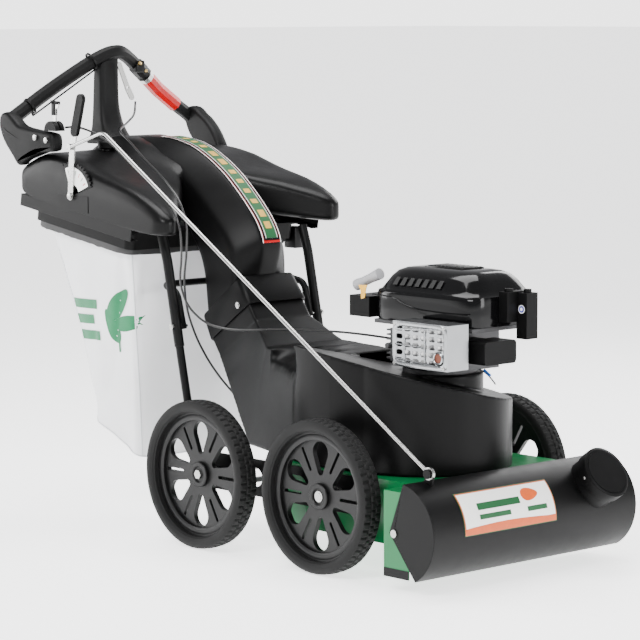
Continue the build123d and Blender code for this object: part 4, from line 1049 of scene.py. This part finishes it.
# red grip sleeve on the left arm, its silver collar and the clamp above it
arm = [at(-1.262, 0.085, 1.264), at(-1.300, 0.200, 1.188), at(-1.308, 0.284, 1.134)]
bar_line = [arm[0].lerp(arm[1], t) for t in (0.55, 0.7, 0.85)] + [arm[1].lerp(arm[2], t) for t in (0.0, 0.3,
                                                                                                   0.6, 0.9)]
wire("red_sleeve", bar_line, 0.0232, red_gloss, "chassis")
wire("silver_collar", [arm[0].lerp(arm[1], t) for t in (0.44, 0.50, 0.56)], 0.0240, mats["zinc"], "chassis")
wire("clamp_band", [arm[0].lerp(arm[1], t) for t in (0.10, 0.20, 0.30)], 0.0245, satin_black, "chassis")
bm = bmesh.new()
block(bm, at(-1.262, 0.075, 1.238), at(-1.236, 0.105, 1.272))
from_bmesh("clamp_block", bm, satin_black, "chassis", "handle_foam", bevel=0.003)
bm = bmesh.new()
turned(bm, at(-1.240, 0.086, 1.262), (1, -0.4, 0.2),
       ((0.0, 0.006), (0.010, 0.006), (0.012, 0.004), (0.012, 0.0)), 6)
turned(bm, at(-1.248, 0.115, 1.240), (1, -0.4, 0.2), ((0.0, 0.0045), (0.012, 0.0045), (0.012, 0.0)), 6)
from_bmesh("clamp_screws", bm, mats["brass"], "chassis", "brass")

# quadrant sticker with scale marks
def quadrant_patch(name, r0, r1, a0, a1, lift, material):
    bm = bmesh.new()
    rows = []
    for r in (r0, r1):
        rows.append([at(-1.003 + r * cos(radians(a0 + (a1 - a0) * k / 16)), -0.3476 - lift,
                        0.909 + r * sin(radians(a0 + (a1 - a0) * k / 16)))
                     for k in range(17)])
    sew(bm, rows)
    return from_bmesh(name, bm, material, "chassis", "black_steel", sharp=60)


quadrant_patch("scale_white", 0.034, 0.080, 22, 110, 0.0003, white_label)
for k in range(6):
    quadrant_patch(f"scale_mark_{k}", 0.060, 0.073, 30 + 14 * k, 32 + 14 * k, 0.0006,
                   green_label if k % 2 else red_gloss)

# knob on the hopper's back, throttle paddle, left latch and front lug
bm = bmesh.new()
turned(bm, at(-1.096, -0.150, 1.018), (0, 0, 1),
       ((0.0, 0.012), (0.010, 0.012), (0.014, 0.024), (0.030, 0.026), (0.036, 0.020), (0.038, 0.0)), 32)
from_bmesh("hopper_knob", bm, mats["black_plastic"], "chassis", "black_plastic", sharp=40)
bm = bmesh.new()
block(bm, at(-1.098, -0.3435, 1.128), at(-1.078, -0.3345, 1.168))
block(bm, at(-1.098, -0.3435, 1.158), at(-1.064, -0.3345, 1.168))
from_bmesh("throttle_paddle", bm, satin_black, "throttle_body", "black_plastic", bevel=0.003)
bm = bmesh.new()
block(bm, at(-0.850, 0.300, 0.738), at(-0.802, 0.338, 0.800))
from_bmesh("left_latch", bm, satin_black, "chassis", "black_plastic", bevel=0.004)
bm = bmesh.new()
block(bm, at(0.253, -0.3620, 0.036), at(0.340, -0.3612, 0.058))
from_bmesh("base_strip", bm, satin_black, "chassis", "black_steel")
